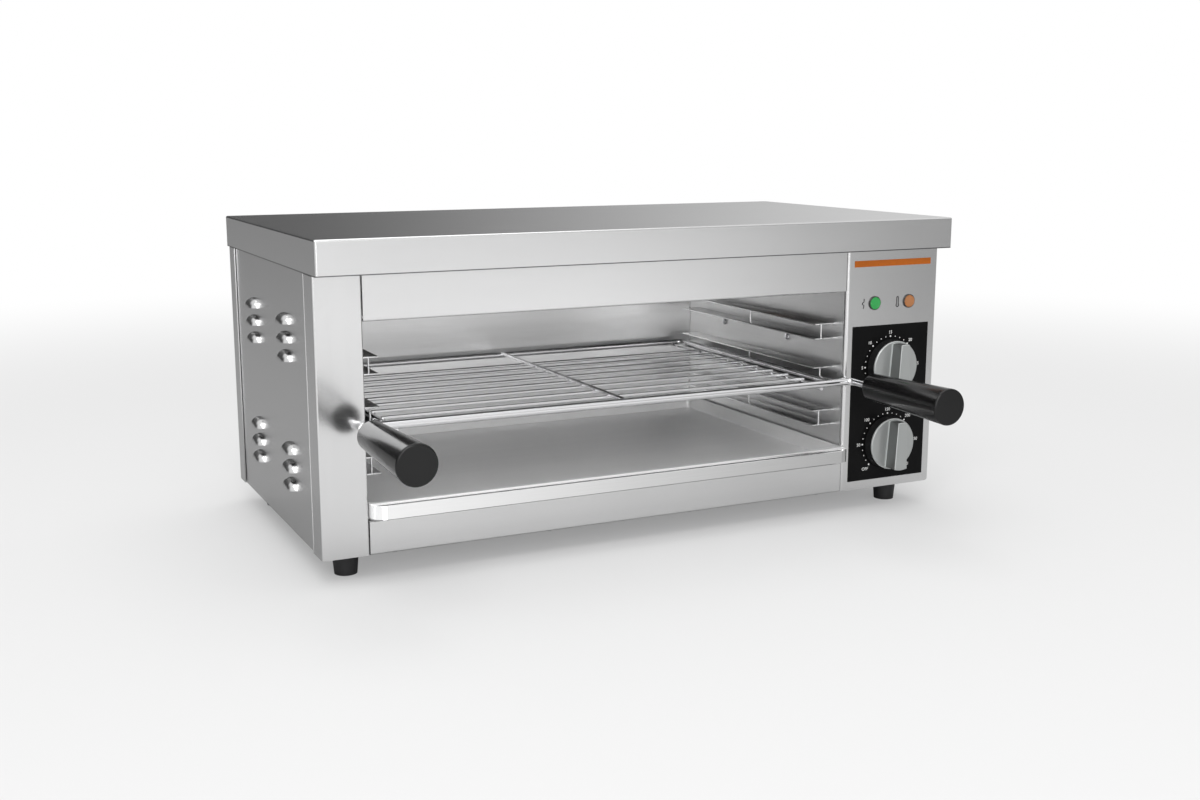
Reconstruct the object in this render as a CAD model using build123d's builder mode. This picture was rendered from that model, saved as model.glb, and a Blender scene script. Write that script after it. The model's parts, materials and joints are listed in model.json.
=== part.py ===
"""Countertop salamander toaster in pressed stainless sheet, in millimetres.

x runs along the front with the casing's centre at 0, y runs from the front to the back,
and z is up with the feet standing on 0. The origin is under the middle of the whole toaster,
from the grips' front faces to the tail of the cable gland.
"""
import os

from build123d import *

# Clearances
seat = 0.3              # gap between pieces that seat on each other
seam = 0.6              # visible gap between two sheets of the front
running_gap = 0.05      # radial clearance of a shaft in its bore
weld_gap = 0.1          # gap between crossing wires of the grid

# Casing
casing_width = 603.0
casing_depth = 303.8
casing_height = 227.2
sheet = 1.0
bend = 1.5              # outside radius of a fold
foot_height = 22.0
side_wrap_front = 25.5  # how far the front sheets turn onto the sides
side_wrap_rear = 21.0
pan_flange = 13.0       # upstand of the base plate and of the top deck

# Front
post_width = 39.2
panel_width = 103.7
upper_fascia_height = 37.1
lower_fascia_height = 28.5
hem_depth = 12.0
return_depth = 4.0      # how far the post and the panel turn in at the opening
panel_edge_bend = 3.0
panel_corner = 4.0      # rounded lower corner of the control panel

# Cover
cover_height = 28.5
cover_right_overhang = 7.0
cover_front_overhang = 11.1
cover_rear_overhang = 9.8
cover_corner = 2.0
cover_hem = 8.0
cover_rail_width = 20.0
cover_rail_spacing = 300.0

# Louvres of the side panels
louvre_length = 36.0
louvre_reach = 9.0
louvre_pitch = 15.6
louvres_per_group = 3
louvre_front_column = 82.5    # behind the casing's front
louvre_rear_column = 106.1    # ahead of the casing's rear
louvre_upper_group = 42.7     # top louvre of the group, below the casing's top
louvre_lower_group = 74.5     # top louvre of the group, above the casing's bottom

# Heating chamber
liner_sheet = 0.8
liner_step = 1.6        # how far the chamber walls stand behind the opening's edges
chamber_rear_gap = 10.9      # from the chamber's rear wall to the casing's rear
reflector_drop = 16.4        # top face, below the casing's top
reflector_front = 13.5
reflector_flange = 18.0
pad_corner = 6.0
liner_screw_head = 3.0
liner_screw_rise = 28.9      # above the grid's frame rod
liner_screw_first = 97.4
liner_screw_spacing = 120.0

# Runners
runner_sheet = 1.2
runner_reach = 19.7
runner_front = 21.9      # behind the casing's front
runner_rear_gap = 19.0   # from the runners to the rear wall
runner_pitch = 41.3
runner_clear_height = 12.7
runner_bend = 1.6
pin_radius = 0.9

# Heating elements
element_radius = 4.0
element_passes = 4
element_drop = 13.0     # from the reflector's underside to the tube's centre
element_front_gap = 38.0 # from the casing's front to the first pass
element_rear_gap = 24.9  # from the last pass to the rear wall
element_spacing = 26.0   # between the two elements
element_end_gap = 13.0  # from the chamber walls to the turns
element_tail = 16.0     # how far the ends stand past the chamber wall
element_turn_flat = 1.0 # straight length in the middle of a turn
stud_radius = 2.0
stud_length = 10.0
hanger_sheet = 1.2
hanger_lip = 5.2        # hanger below the tube's centre
hanger_spacing = 160.0
bush_radius = 6.0
bush_flange_radius = 8.0
bush_flange = 2.0
bush_inner_length = 5.0

# Grid
grid_level = 106.7      # centre of the frame rod, above the casing's bottom
frame_rod_radius = 3.0
frame_side_gap = 14.85  # from the opening's sides to the frame rod's centre
frame_rear_gap = 11.0   # from the frame rod's centre to the rear wall
frame_corner = 8.0
cross_wire_radius = 1.5
cross_wires = 8
cross_wire_first = 32.5
cross_wire_pitch = 27.35
centre_wire_radius = 1.8
side_wire_radius = 2.0
side_wire_inset = 10.0
handle_rod_radius = 3.5
handle_overlap = 5.85   # how far the handle stands outside the opening's sides
handle_corner = 7.0
rod_in_grip = 60.0
grip_stand_off = 36.1   # from the casing's front to the grips' rear ends
grip_length = 107.4
grip_front_radius = 16.0
grip_rear_radius = 12.3
grip_edge = 1.5

# Crumb tray
tray_side_gap = 0.55
tray_sheet = 0.8
tray_wall_height = 15.2
tray_rear_gap = 5.6      # from the tray to the rear wall
tray_corner = 5.0
tray_floor_bend = 2.0
tray_lip_edge = 0.6
tray_lip_reach = 15.1
tray_lip_drop = 11.5
tray_lip_corner = 10.0
tray_rail_width = 12.0
tray_rail_height = 10.0

# Controls
timer_drop = 39.3       # from the dial plate's upper edge to the timer's centre
thermostat_rise = 35.0  # from its lower edge to the thermostat's centre
lamp_rise = 21.2        # from its upper edge to the lamps' centres
lamp_spacing = 39.5
lamp_radius = 6.0
lamp_reach = 3.5
lamp_edge = 1.2
lamp_neck_length = 3.0
lamp_neck_radius = 4.7
lamp_housing_radius = 7.0
lamp_housing_length = 22.0
trim_side_margin = 8.15 # from the panel's sides to the plate and the stripe
plate_height = 148.5
plate_bottom = 8.3      # above the casing's bottom
plate_thickness = 0.4
stripe_height = 5.9
stripe_drop = 9.1       # below the casing's top
stripe_thickness = 0.3
knob_gap = 0.6
knob_rear_radius = 25.5
knob_front_radius = 24.5
knob_height = 10.6      # from the casing's front to the face of the cap
knob_wall = 2.0
knob_hub_radius = 6.0
cap_thickness = 1.8
cap_edge = 0.8
bar_height = 13.5
bar_half_length = 23.0
bar_base_top = 5.2      # half widths of the finger bar, which is narrow at its pointing end
bar_base_bottom = 8.8
bar_face_top = 4.5
bar_face_bottom = 7.0
shaft_radius = 3.0
shaft_in_body = 12.0
shaft_chamfer = 0.5
shaft_hole_radius = 4.0
control_body_width = 42.0
timer_body_length = 38.0
thermostat_body_length = 30.0
thermostat_body_height = 36.0
control_body_corner = 4.0
tab_width = 6.3
tab_thickness = 0.8
tab_length = 8.0
capillary_radius = 1.0
capillary_bend = 14.0
bulb_radius = 3.0
bulb_length = 45.0
bulb_outside = 6.0        # part of the bulb outside the chamber wall

# Supply
gland_height = 30.0
gland_bore = 4.2
gland_thread_radius = 8.0
gland_flats = 22.0
gland_hex = 5.0
gland_dome = 11.1
gland_shoulder = 1.0
gland_tail = 9.0
gland_dome_edge = 1.5
gland_nut_height = 5.0
terminal_width = 46.0
terminal_depth = 20.0
terminal_height = 18.0
terminal_corner = 1.5
terminal_poles = 3
terminal_inset = 55.0
terminal_hole_radius = 2.2

# Feet and fasteners
foot_top_radius = 11.4
foot_bottom_radius = 9.5
foot_side_inset = 27.6  # from the casing's sides
foot_inset = 32.1       # from the casing's front and rear
foot_band = 2.0         # straight upper part
foot_screw_radius = 2.0
foot_recess_radius = 4.5
foot_recess_depth = 12.0
foot_screw_head_gap = 1.0
foot_screw_end = 8.0    # above the base plate
foot_nut_height = 3.2
screw_head_height = 1.8
base_screw_radius = 1.5
base_screw_head = 2.5
base_screw_end_gap = 22.9   # from the opening's sides to the outer screws
base_screws_in_row = 4
base_screw_inset = 8.0
screw_shank = 6.0
liner_screw_end = 4.0       # past the chamber wall
rear_screw_spacing = 180.0
vent_length = 30.0
vent_width = 4.0
vent_pitch = 10.0
vents = 5

# Places that follow from the sizes
casing_right = casing_width / 2
casing_left = -casing_right
casing_bottom = foot_height
casing_top = casing_bottom + casing_height
grip_reach = grip_stand_off + grip_length
gland_reach = gland_hex + gland_dome
front = (grip_reach - casing_depth - gland_reach) / 2
rear = front + casing_depth
opening_left = casing_left + post_width
opening_right = casing_right - panel_width
opening_top = casing_top - upper_fascia_height
opening_bottom = casing_bottom + lower_fascia_height
opening_centre = (opening_left + opening_right) / 2
opening_width = opening_right - opening_left
panel_centre = (opening_right + casing_right) / 2
side_face = casing_right - sheet - seat
inside_x = side_face - sheet - seat
inside_front = front + return_depth + seat
inside_rear = rear - sheet - seat
base_top = casing_bottom + sheet + seat + sheet
deck_underside = casing_top - sheet
cover_left = casing_left
cover_right = casing_right + cover_right_overhang
cover_width = cover_right - cover_left
cover_front = front - cover_front_overhang
cover_rear = rear + cover_rear_overhang
cover_depth = cover_rear - cover_front
cover_bottom = casing_top + seat
cover_top = cover_bottom + cover_height
wall_left = opening_left - liner_step
wall_right = opening_right + liner_step
wall_rear = rear - chamber_rear_gap
runner_length = wall_rear - runner_rear_gap - front - runner_front
element_room = wall_rear - front - element_front_gap - element_rear_gap - element_spacing
element_pitch = element_room / (2 * (element_passes - 1))
wall_bottom = base_top + seat
wall_top = deck_underside - seat
wall_front = inside_front + sheet + seat
reflector_top = casing_top - reflector_drop
element_z = reflector_top - liner_sheet - element_drop
grid_z = casing_bottom + grid_level
handle_y = front - seat - handle_rod_radius
frame_left = opening_left + frame_side_gap
frame_right = opening_right - frame_side_gap
frame_rear = wall_rear - frame_rear_gap
handle_left = opening_left - handle_overlap
handle_right = opening_right + handle_overlap
tray_underside = opening_bottom + seat
trim_width = panel_width - 2 * trim_side_margin
plate_low = casing_bottom + plate_bottom
plate_high = plate_low + plate_height
gland_z = casing_bottom + gland_height


def plan(height):
    """Horizontal plane at a height, drawn in x and y."""
    return Plane.XY.offset(height)


def profile(x):
    """Upright plane across the toaster at x, drawn in y and z and facing right."""
    return Plane.YZ.offset(x)


def section(y):
    """Upright plane along the toaster at y, drawn in x and z and facing the front."""
    return Plane.XZ.offset(-y)


def folded(plane, points, thickness=sheet, radius=bend):
    """Section of a folded sheet: its outside line, with the metal on the line's left."""
    with BuildSketch(plane) as strip:
        with BuildLine():
            FilletPolyline(*points, radius=radius)
            offset(amount=thickness, side=Side.LEFT)
        make_face()
    return strip.sketch


def save(piece, name):
    """Label one finished piece and write it to its own file."""
    piece.part.label = name
    export_step(piece.part, f"parts/{name}.step")


def make_cover():
    """Overhanging top cover, a pan turned upside down with a hem, and the rails under it."""
    centre = ((cover_left + cover_right) / 2, (cover_front + cover_rear) / 2)
    with BuildPart() as top_cover:
        with BuildSketch(plan(cover_bottom)):
            with Locations(centre):
                RectangleRounded(cover_width, cover_depth, cover_corner)
        extrude(amount=cover_height)
        fillet(top_cover.edges().group_by(Axis.Z)[-1], bend)
        offset(amount=-sheet, openings=top_cover.faces().sort_by(Axis.Z)[0])
        with BuildSketch(plan(cover_bottom)):
            with Locations(centre):
                RectangleRounded(cover_width, cover_depth, cover_corner)
                Rectangle(cover_width - 2 * cover_hem, cover_depth - 2 * cover_hem, mode=Mode.SUBTRACT)
        extrude(amount=sheet)
    save(top_cover, "top_cover")

    rail_rear = min(rear, cover_rear) - cover_hem - bend
    rail_front = front + cover_hem
    top = cover_top - sheet - seat
    with BuildPart() as cover_rails:
        for x in (-cover_rail_spacing / 2, cover_rail_spacing / 2):
            outline = [(x + cover_rail_width, top), (x, top), (x, cover_bottom), (x + cover_rail_width, cover_bottom)]
            extrude(folded(section(rail_rear), outline), amount=rail_rear - rail_front)
    save(cover_rails, "cover_rails")


def make_pan(bottom, opening_end):
    """Shallow pan inside the casing, open at its top face (-1) or at its bottom face (0)."""
    width = 2 * inside_x
    depth = inside_rear - inside_front
    with BuildPart() as pan:
        with BuildSketch(plan(bottom)):
            with Locations((0, inside_front + depth / 2)):
                RectangleRounded(width, depth, bend)
        extrude(amount=pan_flange)
        offset(amount=-sheet, openings=pan.faces().sort_by(Axis.Z)[opening_end])
    return pan.part


def foot_places():
    """Centres of the four feet."""
    columns = (casing_left + foot_side_inset, casing_right - foot_side_inset)
    return [(x, y) for x in columns for y in (front + foot_inset, rear - foot_inset)]


def base_screw_places():
    """Centres of the screws that hold the lower fascia to the base plate."""
    first = opening_left + base_screw_end_gap
    spacing = (opening_right - base_screw_end_gap - first) / (base_screws_in_row - 1)
    return [(first + n * spacing, front + base_screw_inset) for n in range(base_screws_in_row)]


def rear_screw_places():
    """Centres of the rear panel's screws, in x and z."""
    levels = (base_top + pan_flange / 2, casing_top - pan_flange / 2 - sheet)
    return [(x, z) for x in (-rear_screw_spacing, 0, rear_screw_spacing) for z in levels]


def make_base():
    """Base plate with its vents, and the top deck."""
    bottom = casing_bottom + sheet + seat
    with BuildPart() as base_plate:
        add(make_pan(bottom, -1))
        with BuildSketch(plan(bottom)):
            with Locations(foot_places()):
                Circle(foot_screw_radius + seat)
            with Locations(base_screw_places()):
                Circle(base_screw_radius + seat)
            with Locations((panel_centre, front + casing_depth / 2)):
                with GridLocations(vent_length + vent_pitch, vent_pitch, 2, vents):
                    SlotOverall(vent_length, vent_width)
        extrude(amount=sheet, mode=Mode.SUBTRACT)
        with BuildSketch(section(inside_rear)):
            with Locations([place for place in rear_screw_places() if place[1] < grid_z]):
                Circle(base_screw_radius + seat)
        extrude(amount=sheet, mode=Mode.SUBTRACT)
    save(base_plate, "base_plate")

    with BuildPart() as top_deck:
        add(make_pan(casing_top - pan_flange, 0))
        with BuildSketch(section(inside_rear)):
            with Locations([place for place in rear_screw_places() if place[1] > grid_z]):
                Circle(base_screw_radius + seat)
        extrude(amount=sheet, mode=Mode.SUBTRACT)
    save(top_deck, "top_deck")


def make_front():
    """Left post, control panel and the two fascias of the opening."""
    with BuildPart() as front_left_post:
        outline = [(casing_left, front + side_wrap_front), (casing_left, front), (opening_left, front),
                   (opening_left, front + return_depth)]
        extrude(folded(plan(casing_bottom), outline), amount=casing_height)
    save(front_left_post, "front_left_post")

    with BuildPart() as control_panel:
        outline = [(opening_right, front + return_depth), (opening_right, front), (casing_right, front),
                   (casing_right, front + side_wrap_front)]
        extrude(folded(plan(casing_bottom), outline, radius=[panel_edge_bend, bend]), amount=casing_height)
        with BuildSketch(section(front + side_wrap_front)):
            with Locations((casing_right, casing_bottom)):
                Rectangle(2 * panel_corner, 2 * panel_corner)
            with Locations((casing_right - panel_corner, casing_bottom + panel_corner)):
                Circle(panel_corner, mode=Mode.SUBTRACT)
                Rectangle(panel_corner, 3 * panel_corner, align=(Align.MAX, Align.CENTER), mode=Mode.SUBTRACT)
                Rectangle(3 * panel_corner, panel_corner, align=(Align.CENTER, Align.MIN), mode=Mode.SUBTRACT)
        extrude(amount=side_wrap_front, mode=Mode.SUBTRACT)
        with BuildSketch(section(front + sheet)):
            with Locations(lamp_places()):
                Circle(lamp_neck_radius + seat)
            with Locations(dial_places()):
                Circle(shaft_hole_radius)
        extrude(amount=sheet, mode=Mode.SUBTRACT)
    save(control_panel, "control_panel")

    left_end = opening_left + seam
    fascia_length = opening_width - 2 * seam
    with BuildPart() as upper_fascia:
        outline = [(front, casing_top), (front, opening_top), (front + hem_depth, opening_top)]
        extrude(folded(profile(left_end), outline), amount=fascia_length)
    save(upper_fascia, "upper_fascia")

    with BuildPart() as lower_fascia:
        outline = [(front + hem_depth, opening_bottom), (front, opening_bottom), (front, casing_bottom),
                   (front + hem_depth, casing_bottom)]
        extrude(folded(profile(left_end), outline), amount=fascia_length)
        with BuildSketch(plan(casing_bottom)):
            with Locations(base_screw_places()):
                Circle(base_screw_radius + seat)
        extrude(amount=sheet, mode=Mode.SUBTRACT)
    save(lower_fascia, "lower_fascia")


def louvre_places():
    """Places of the louvres' lower edges on a side panel, in y and z."""
    columns = (front + louvre_front_column, rear - louvre_rear_column)
    groups = (casing_top - louvre_upper_group, casing_bottom + louvre_lower_group)
    steps = [louvre_reach / 2 + n * louvre_pitch for n in range(louvres_per_group)]
    return [(column, group - step) for column in columns for group in groups for step in steps]


def louvre_quarter(y, z, reach, length):
    """Quarter of a capsule that swells out of the left panel and is flat underneath."""
    base = Plane(origin=(-side_face, y, z), x_dir=(0, 1, 0), z_dir=(0, 0, 1))
    with BuildPart() as hood:
        with BuildSketch(base):
            SlotOverall(length, 2 * reach)
            with Locations((0, -reach)):
                Rectangle(2 * length, 2 * reach, mode=Mode.SUBTRACT)
        revolve(axis=Axis((-side_face, y, z), (0, 1, 0)), revolution_arc=90)
    return hood.part


def make_side_panels():
    """Side panels with their pressed louvres, open underneath. The right one mirrors the left."""
    edge = sheet + bend + seat
    with BuildPart() as left_side_panel:
        with BuildSketch(profile(-side_face)):
            with Locations(((front + rear) / 2, (casing_bottom + casing_top) / 2)):
                Rectangle(casing_depth - 2 * edge, casing_height)
        extrude(amount=sheet)
        for y, z in louvre_places():
            add(louvre_quarter(y, z, louvre_reach, louvre_length))
        for y, z in louvre_places():
            add(louvre_quarter(y, z, louvre_reach - sheet, louvre_length - 2 * sheet), mode=Mode.SUBTRACT)
        with BuildSketch(profile(-side_face)):
            for y, z in louvre_places():
                with Locations((y, z)):
                    Rectangle(louvre_length - 2 * louvre_reach, louvre_reach - sheet,
                              align=(Align.CENTER, Align.MIN))
        extrude(amount=sheet, mode=Mode.SUBTRACT)
    save(left_side_panel, "left_side_panel")

    with BuildPart() as right_side_panel:
        mirror(left_side_panel.part, about=Plane.YZ)
    save(right_side_panel, "right_side_panel")


def make_rear_panel():
    """Plain rear panel that wraps both sides, with the hole for the cable gland."""
    with BuildPart() as rear_panel:
        outline = [(casing_right, rear - side_wrap_rear), (casing_right, rear), (casing_left, rear),
                   (casing_left, rear - side_wrap_rear)]
        extrude(folded(plan(casing_bottom), outline), amount=casing_height)
        with BuildSketch(section(rear)):
            with Locations((panel_centre, gland_z)):
                Circle(gland_thread_radius + seat)
            with Locations(rear_screw_places()):
                Circle(base_screw_radius + seat)
        extrude(amount=sheet, mode=Mode.SUBTRACT)
    save(rear_panel, "rear_panel")


def make_feet():
    """Tapered rubber feet with their screws and nuts."""
    top = casing_bottom + sheet
    recess = foot_recess_depth
    with BuildPart() as foot:
        with BuildSketch(Plane.XZ):
            with BuildLine():
                Polyline((foot_screw_radius + seat, top), (foot_top_radius, top), (foot_top_radius, top - foot_band),
                         (foot_bottom_radius, 0), (foot_recess_radius, 0), (foot_recess_radius, recess),
                         (foot_screw_radius + seat, recess), close=True)
            make_face()
        revolve(axis=Axis.Z)
    with BuildPart() as feet:
        with Locations(*foot_places()):
            add(foot.part)
    save(feet, "feet")

    head = foot_recess_radius - foot_screw_head_gap
    tip = base_top + foot_screw_end
    with BuildPart() as foot_screws:
        for x, y in foot_places():
            with BuildSketch(plan(recess - seat - screw_head_height)):
                with Locations((x, y)):
                    Circle(head)
            extrude(amount=screw_head_height)
            with BuildSketch(plan(recess - seat)):
                with Locations((x, y)):
                    Circle(foot_screw_radius)
            extrude(amount=tip - recess + seat)
    save(foot_screws, "foot_screws")

    with BuildPart() as foot_nuts:
        with BuildSketch(plan(base_top + seat)):
            with Locations(foot_places()):
                RegularPolygon(2 * foot_screw_radius, 6)
                Circle(foot_screw_radius + weld_gap, mode=Mode.SUBTRACT)
        extrude(amount=foot_nut_height)
    save(foot_nuts, "foot_nuts")


def screw_row(plane, places, head_radius, shank_length):
    """Pan head screws on a plane that faces away from the sheet, gap included."""
    with BuildPart() as screws:
        with BuildSketch(plane.offset(seat)):
            with Locations(places):
                Circle(head_radius)
        extrude(amount=screw_head_height, taper=12)
        with BuildSketch(plane.offset(seat)):
            with Locations(places):
                Circle(base_screw_radius)
        extrude(amount=-shank_length)
    return screws


def make_screws():
    """Screws under the base, on the rear panel and on the chamber walls."""
    under = Plane(origin=(0, 0, casing_bottom), x_dir=(1, 0, 0), z_dir=(0, 0, -1))
    places = [(x, -y) for x, y in base_screw_places()]
    save(screw_row(under, places, base_screw_head, screw_shank), "base_screws")

    behind = Plane(origin=(0, rear, 0), x_dir=(-1, 0, 0), z_dir=(0, 1, 0))
    places = [(-x, z) for x, z in rear_screw_places()]
    save(screw_row(behind, places, liner_screw_head, screw_shank), "rear_screws")

    first = front + liner_screw_first
    height = grid_z + liner_screw_rise
    with BuildPart() as liner_screws:
        for x, facing in ((wall_left, 1), (wall_right, -1)):
            wall = Plane(origin=(x, 0, 0), x_dir=(0, facing, 0), z_dir=(facing, 0, 0))
            places = [(facing * y, height) for y in (first, first + liner_screw_spacing)]
            add(screw_row(wall, places, liner_screw_head, liner_sheet + liner_screw_end).part)
    save(liner_screws, "liner_screws")


def element_starts():
    """First pass of each heating element, in y."""
    first = front + element_front_gap
    return (first, first + (element_passes - 1) * element_pitch + element_spacing)


def element_ends():
    """Both ends of each heating element, in y."""
    span = (element_passes - 1) * element_pitch
    return [y for first in element_starts() for y in (first, first + span)]


def element_pass_places():
    """Every pass of both heating elements, in y."""
    return [first + n * element_pitch for first in element_starts() for n in range(element_passes)]


def probe_y():
    """Place of the thermostat's bulb, between the two heating elements."""
    first, second = element_starts()
    return (first + (element_passes - 1) * element_pitch + second) / 2


def make_liner():
    """Chamber walls, the reflector over the elements and the insulation above it."""
    depth = wall_rear + liner_sheet + seat - wall_front
    first = front + liner_screw_first
    screws = [(y, grid_z + liner_screw_rise) for y in (first, first + liner_screw_spacing)]
    for x, name in ((wall_left - liner_sheet, "liner_left"), (wall_right, "liner_right")):
        with BuildPart() as liner:
            with BuildSketch(profile(x)):
                with Locations((wall_front, wall_bottom)):
                    Rectangle(depth, wall_top - wall_bottom, align=(Align.MIN, Align.MIN))
                with Locations(screws):
                    Circle(base_screw_radius + seat, mode=Mode.SUBTRACT)
                if name == "liner_right":
                    with Locations([(y, element_z) for y in element_ends()]):
                        Circle(bush_radius + seat, mode=Mode.SUBTRACT)
                    with Locations((probe_y(), element_z)):
                        Circle(bulb_radius + seat, mode=Mode.SUBTRACT)
            extrude(amount=liner_sheet)
        save(liner, name)

    width = wall_right - wall_left - 2 * seat
    with BuildPart() as liner_rear:
        with BuildSketch(section(wall_rear + liner_sheet)):
            with Locations((opening_centre, wall_bottom)):
                Rectangle(width, wall_top - wall_bottom, align=(Align.CENTER, Align.MIN))
        extrude(amount=liner_sheet)
    save(liner_rear, "liner_rear")

    low = reflector_top - reflector_flange
    back = wall_rear - seat
    with BuildPart() as ceiling_reflector:
        outline = [(back, low), (back, reflector_top), (front + reflector_front, reflector_top),
                   (front + reflector_front, low)]
        extrude(folded(profile(wall_left + seat), outline, liner_sheet), amount=width)
    save(ceiling_reflector, "ceiling_reflector")

    pad_bottom = reflector_top + seat
    with BuildPart() as insulation_pad:
        with BuildSketch(plan(pad_bottom)):
            with Locations((opening_centre, front + reflector_front)):
                Rectangle(width, back - front - reflector_front, align=(Align.CENTER, Align.MIN))
        extrude(amount=wall_top - pad_bottom)
        chamfer(insulation_pad.edges().filter_by(Axis.Z), pad_corner)
    save(insulation_pad, "insulation_pad")


def make_tray_rails():
    """Angles on the chamber walls that the crumb tray slides on."""
    start = front + hem_depth + seat
    end = wall_rear - seat
    top = opening_bottom
    left = wall_left + seat
    right = wall_right - seat
    outlines = {
        "tray_rail_left": [(left + tray_rail_width, top), (left, top), (left, top - tray_rail_height)],
        "tray_rail_right": [(right, top - tray_rail_height), (right, top), (right - tray_rail_width, top)],
    }
    for name, outline in outlines.items():
        with BuildPart() as rail:
            extrude(folded(section(end), outline), amount=end - start)
        save(rail, name)


def runner_levels():
    """Upper face of the lower flange of each pair of runners, by name."""
    middle = grid_z - frame_rod_radius - seat
    return {"top": middle + runner_pitch, "middle": middle, "bottom": middle - runner_pitch}


def make_runner(facing, wall, base):
    """Channel on a chamber wall with three guide pins. It faces +x when facing is 1."""
    back = wall + facing * seat
    tip = back + facing * runner_reach
    low = base - runner_sheet
    high = base + runner_clear_height + runner_sheet
    outline = [(tip, high), (back, high), (back, low), (tip, low)]
    if facing < 0:
        outline.reverse()
    rod = frame_left if facing > 0 else frame_right
    pin = rod - facing * (frame_rod_radius + seat + pin_radius)
    start = front + runner_front
    with BuildPart() as runner:
        extrude(folded(section(start + runner_length), outline, runner_sheet, runner_bend), amount=runner_length)
        with BuildSketch(plan(base)):
            for share in (0, 0.5, 1):
                edge = start + 2 * pin_radius
                with Locations((pin, edge + share * (runner_length - 4 * pin_radius))):
                    Circle(pin_radius)
        extrude(amount=runner_clear_height)
    return runner


def make_runners():
    """Three pairs of runners, one above the other."""
    for level, base in runner_levels().items():
        save(make_runner(1, wall_left, base), f"runner_left_{level}")
        save(make_runner(-1, wall_right, base), f"runner_right_{level}")


def make_element(first, name):
    """Heating tube bent to and fro under the reflector, with a stud at each end."""
    turn_left = wall_left + element_end_gap
    turn_right = wall_right - element_end_gap
    end = wall_right + element_tail
    points = [(end, first, element_z)]
    for n in range(element_passes - 1):
        x = turn_left if n % 2 == 0 else turn_right
        points += [(x, first + n * element_pitch, element_z), (x, first + (n + 1) * element_pitch, element_z)]
    last = first + (element_passes - 1) * element_pitch
    points.append((end, last, element_z))
    with BuildPart() as element:
        with BuildLine() as path:
            FilletPolyline(*points, radius=(element_pitch - element_turn_flat) / 2)
        with BuildSketch(Plane(origin=path.line @ 0, z_dir=path.line % 0)):
            Circle(element_radius)
        sweep()
        for y in (first, last):
            with BuildSketch(Plane(origin=(end, y, element_z), z_dir=(1, 0, 0))):
                Circle(stud_radius)
            extrude(amount=stud_length)
    save(element, name)


def make_elements():
    """Both heating elements, the hangers that carry them and the bushes at their ends."""
    for first, name in zip(element_starts(), ("heating_element_front", "heating_element_rear")):
        make_element(first, name)

    passes = element_pass_places()
    low = element_z - hanger_lip
    high = reflector_top - liner_sheet - seat
    hole = element_radius + seat
    start = passes[0] - 2 * hole
    with BuildPart() as element_hangers:
        for n in (-1, 0, 1):
            x = opening_centre + n * hanger_spacing
            with BuildSketch(profile(x)):
                with Locations((start, low)):
                    Rectangle(passes[-1] + 2 * hole - start, high - low, align=(Align.MIN, Align.MIN))
                with Locations([(y, element_z) for y in passes]):
                    Circle(hole, mode=Mode.SUBTRACT)
            extrude(amount=hanger_sheet)
    save(element_hangers, "element_hangers")

    flange_face = wall_right + liner_sheet + seat
    with BuildPart() as element_bushes:
        for y in element_ends():
            with BuildSketch(Plane(origin=(flange_face, y, element_z), z_dir=(1, 0, 0))):
                Circle(bush_flange_radius)
                Circle(element_radius + seat, mode=Mode.SUBTRACT)
            extrude(amount=bush_flange)
            with BuildSketch(Plane(origin=(flange_face, y, element_z), z_dir=(-1, 0, 0))):
                Circle(bush_radius)
                Circle(element_radius + seat, mode=Mode.SUBTRACT)
            extrude(amount=bush_inner_length)
    save(element_bushes, "element_bushes")


def bent_rod(points, corner, radius):
    """Round rod bent along points."""
    with BuildPart() as rod:
        with BuildLine() as path:
            FilletPolyline(*points, radius=corner)
        with BuildSketch(Plane(origin=path.line @ 0, z_dir=path.line % 0)):
            Circle(radius)
        sweep()
    return rod


def make_grid():
    """Wire grid: the bent handle rod, the frame rod and the wires."""
    end = front - grip_stand_off - rod_in_grip
    points = [(handle_left, end, grid_z), (handle_left, handle_y, grid_z), (handle_right, handle_y, grid_z),
              (handle_right, end, grid_z)]
    save(bent_rod(points, handle_corner, handle_rod_radius), "grid_handle_rod")

    points = [(frame_left, front, grid_z), (frame_left, frame_rear, grid_z), (frame_right, frame_rear, grid_z),
              (frame_right, front, grid_z)]
    save(bent_rod(points, frame_corner, frame_rod_radius), "grid_frame")

    side_wire_z = grid_z - frame_rod_radius - weld_gap - side_wire_radius
    cross_wire_z = side_wire_z + side_wire_radius + weld_gap + cross_wire_radius
    centre_wire_z = cross_wire_z + cross_wire_radius + weld_gap + centre_wire_radius
    side_wires = (frame_left + side_wire_inset, frame_right - side_wire_inset)
    with BuildPart() as grid_cross_wires:
        with BuildSketch(profile(side_wires[0] - side_wire_radius)):
            for n in range(cross_wires):
                with Locations((front + cross_wire_first + n * cross_wire_pitch, cross_wire_z)):
                    Circle(cross_wire_radius)
        extrude(amount=side_wires[1] - side_wires[0] + 2 * side_wire_radius)
    save(grid_cross_wires, "grid_cross_wires")

    with BuildPart() as grid_side_wires:
        with BuildSketch(section(frame_rear + frame_rod_radius)):
            for x in side_wires:
                with Locations((x, side_wire_z)):
                    Circle(side_wire_radius)
        extrude(amount=frame_rear + frame_rod_radius - front)
    save(grid_side_wires, "grid_side_wires")

    butt = frame_rear - frame_rod_radius - seat
    with BuildPart() as grid_centre_wire:
        with BuildSketch(section(butt)):
            with Locations((opening_centre, centre_wire_z)):
                Circle(centre_wire_radius)
        extrude(amount=butt - front)
    save(grid_centre_wire, "grid_centre_wire")


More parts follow.
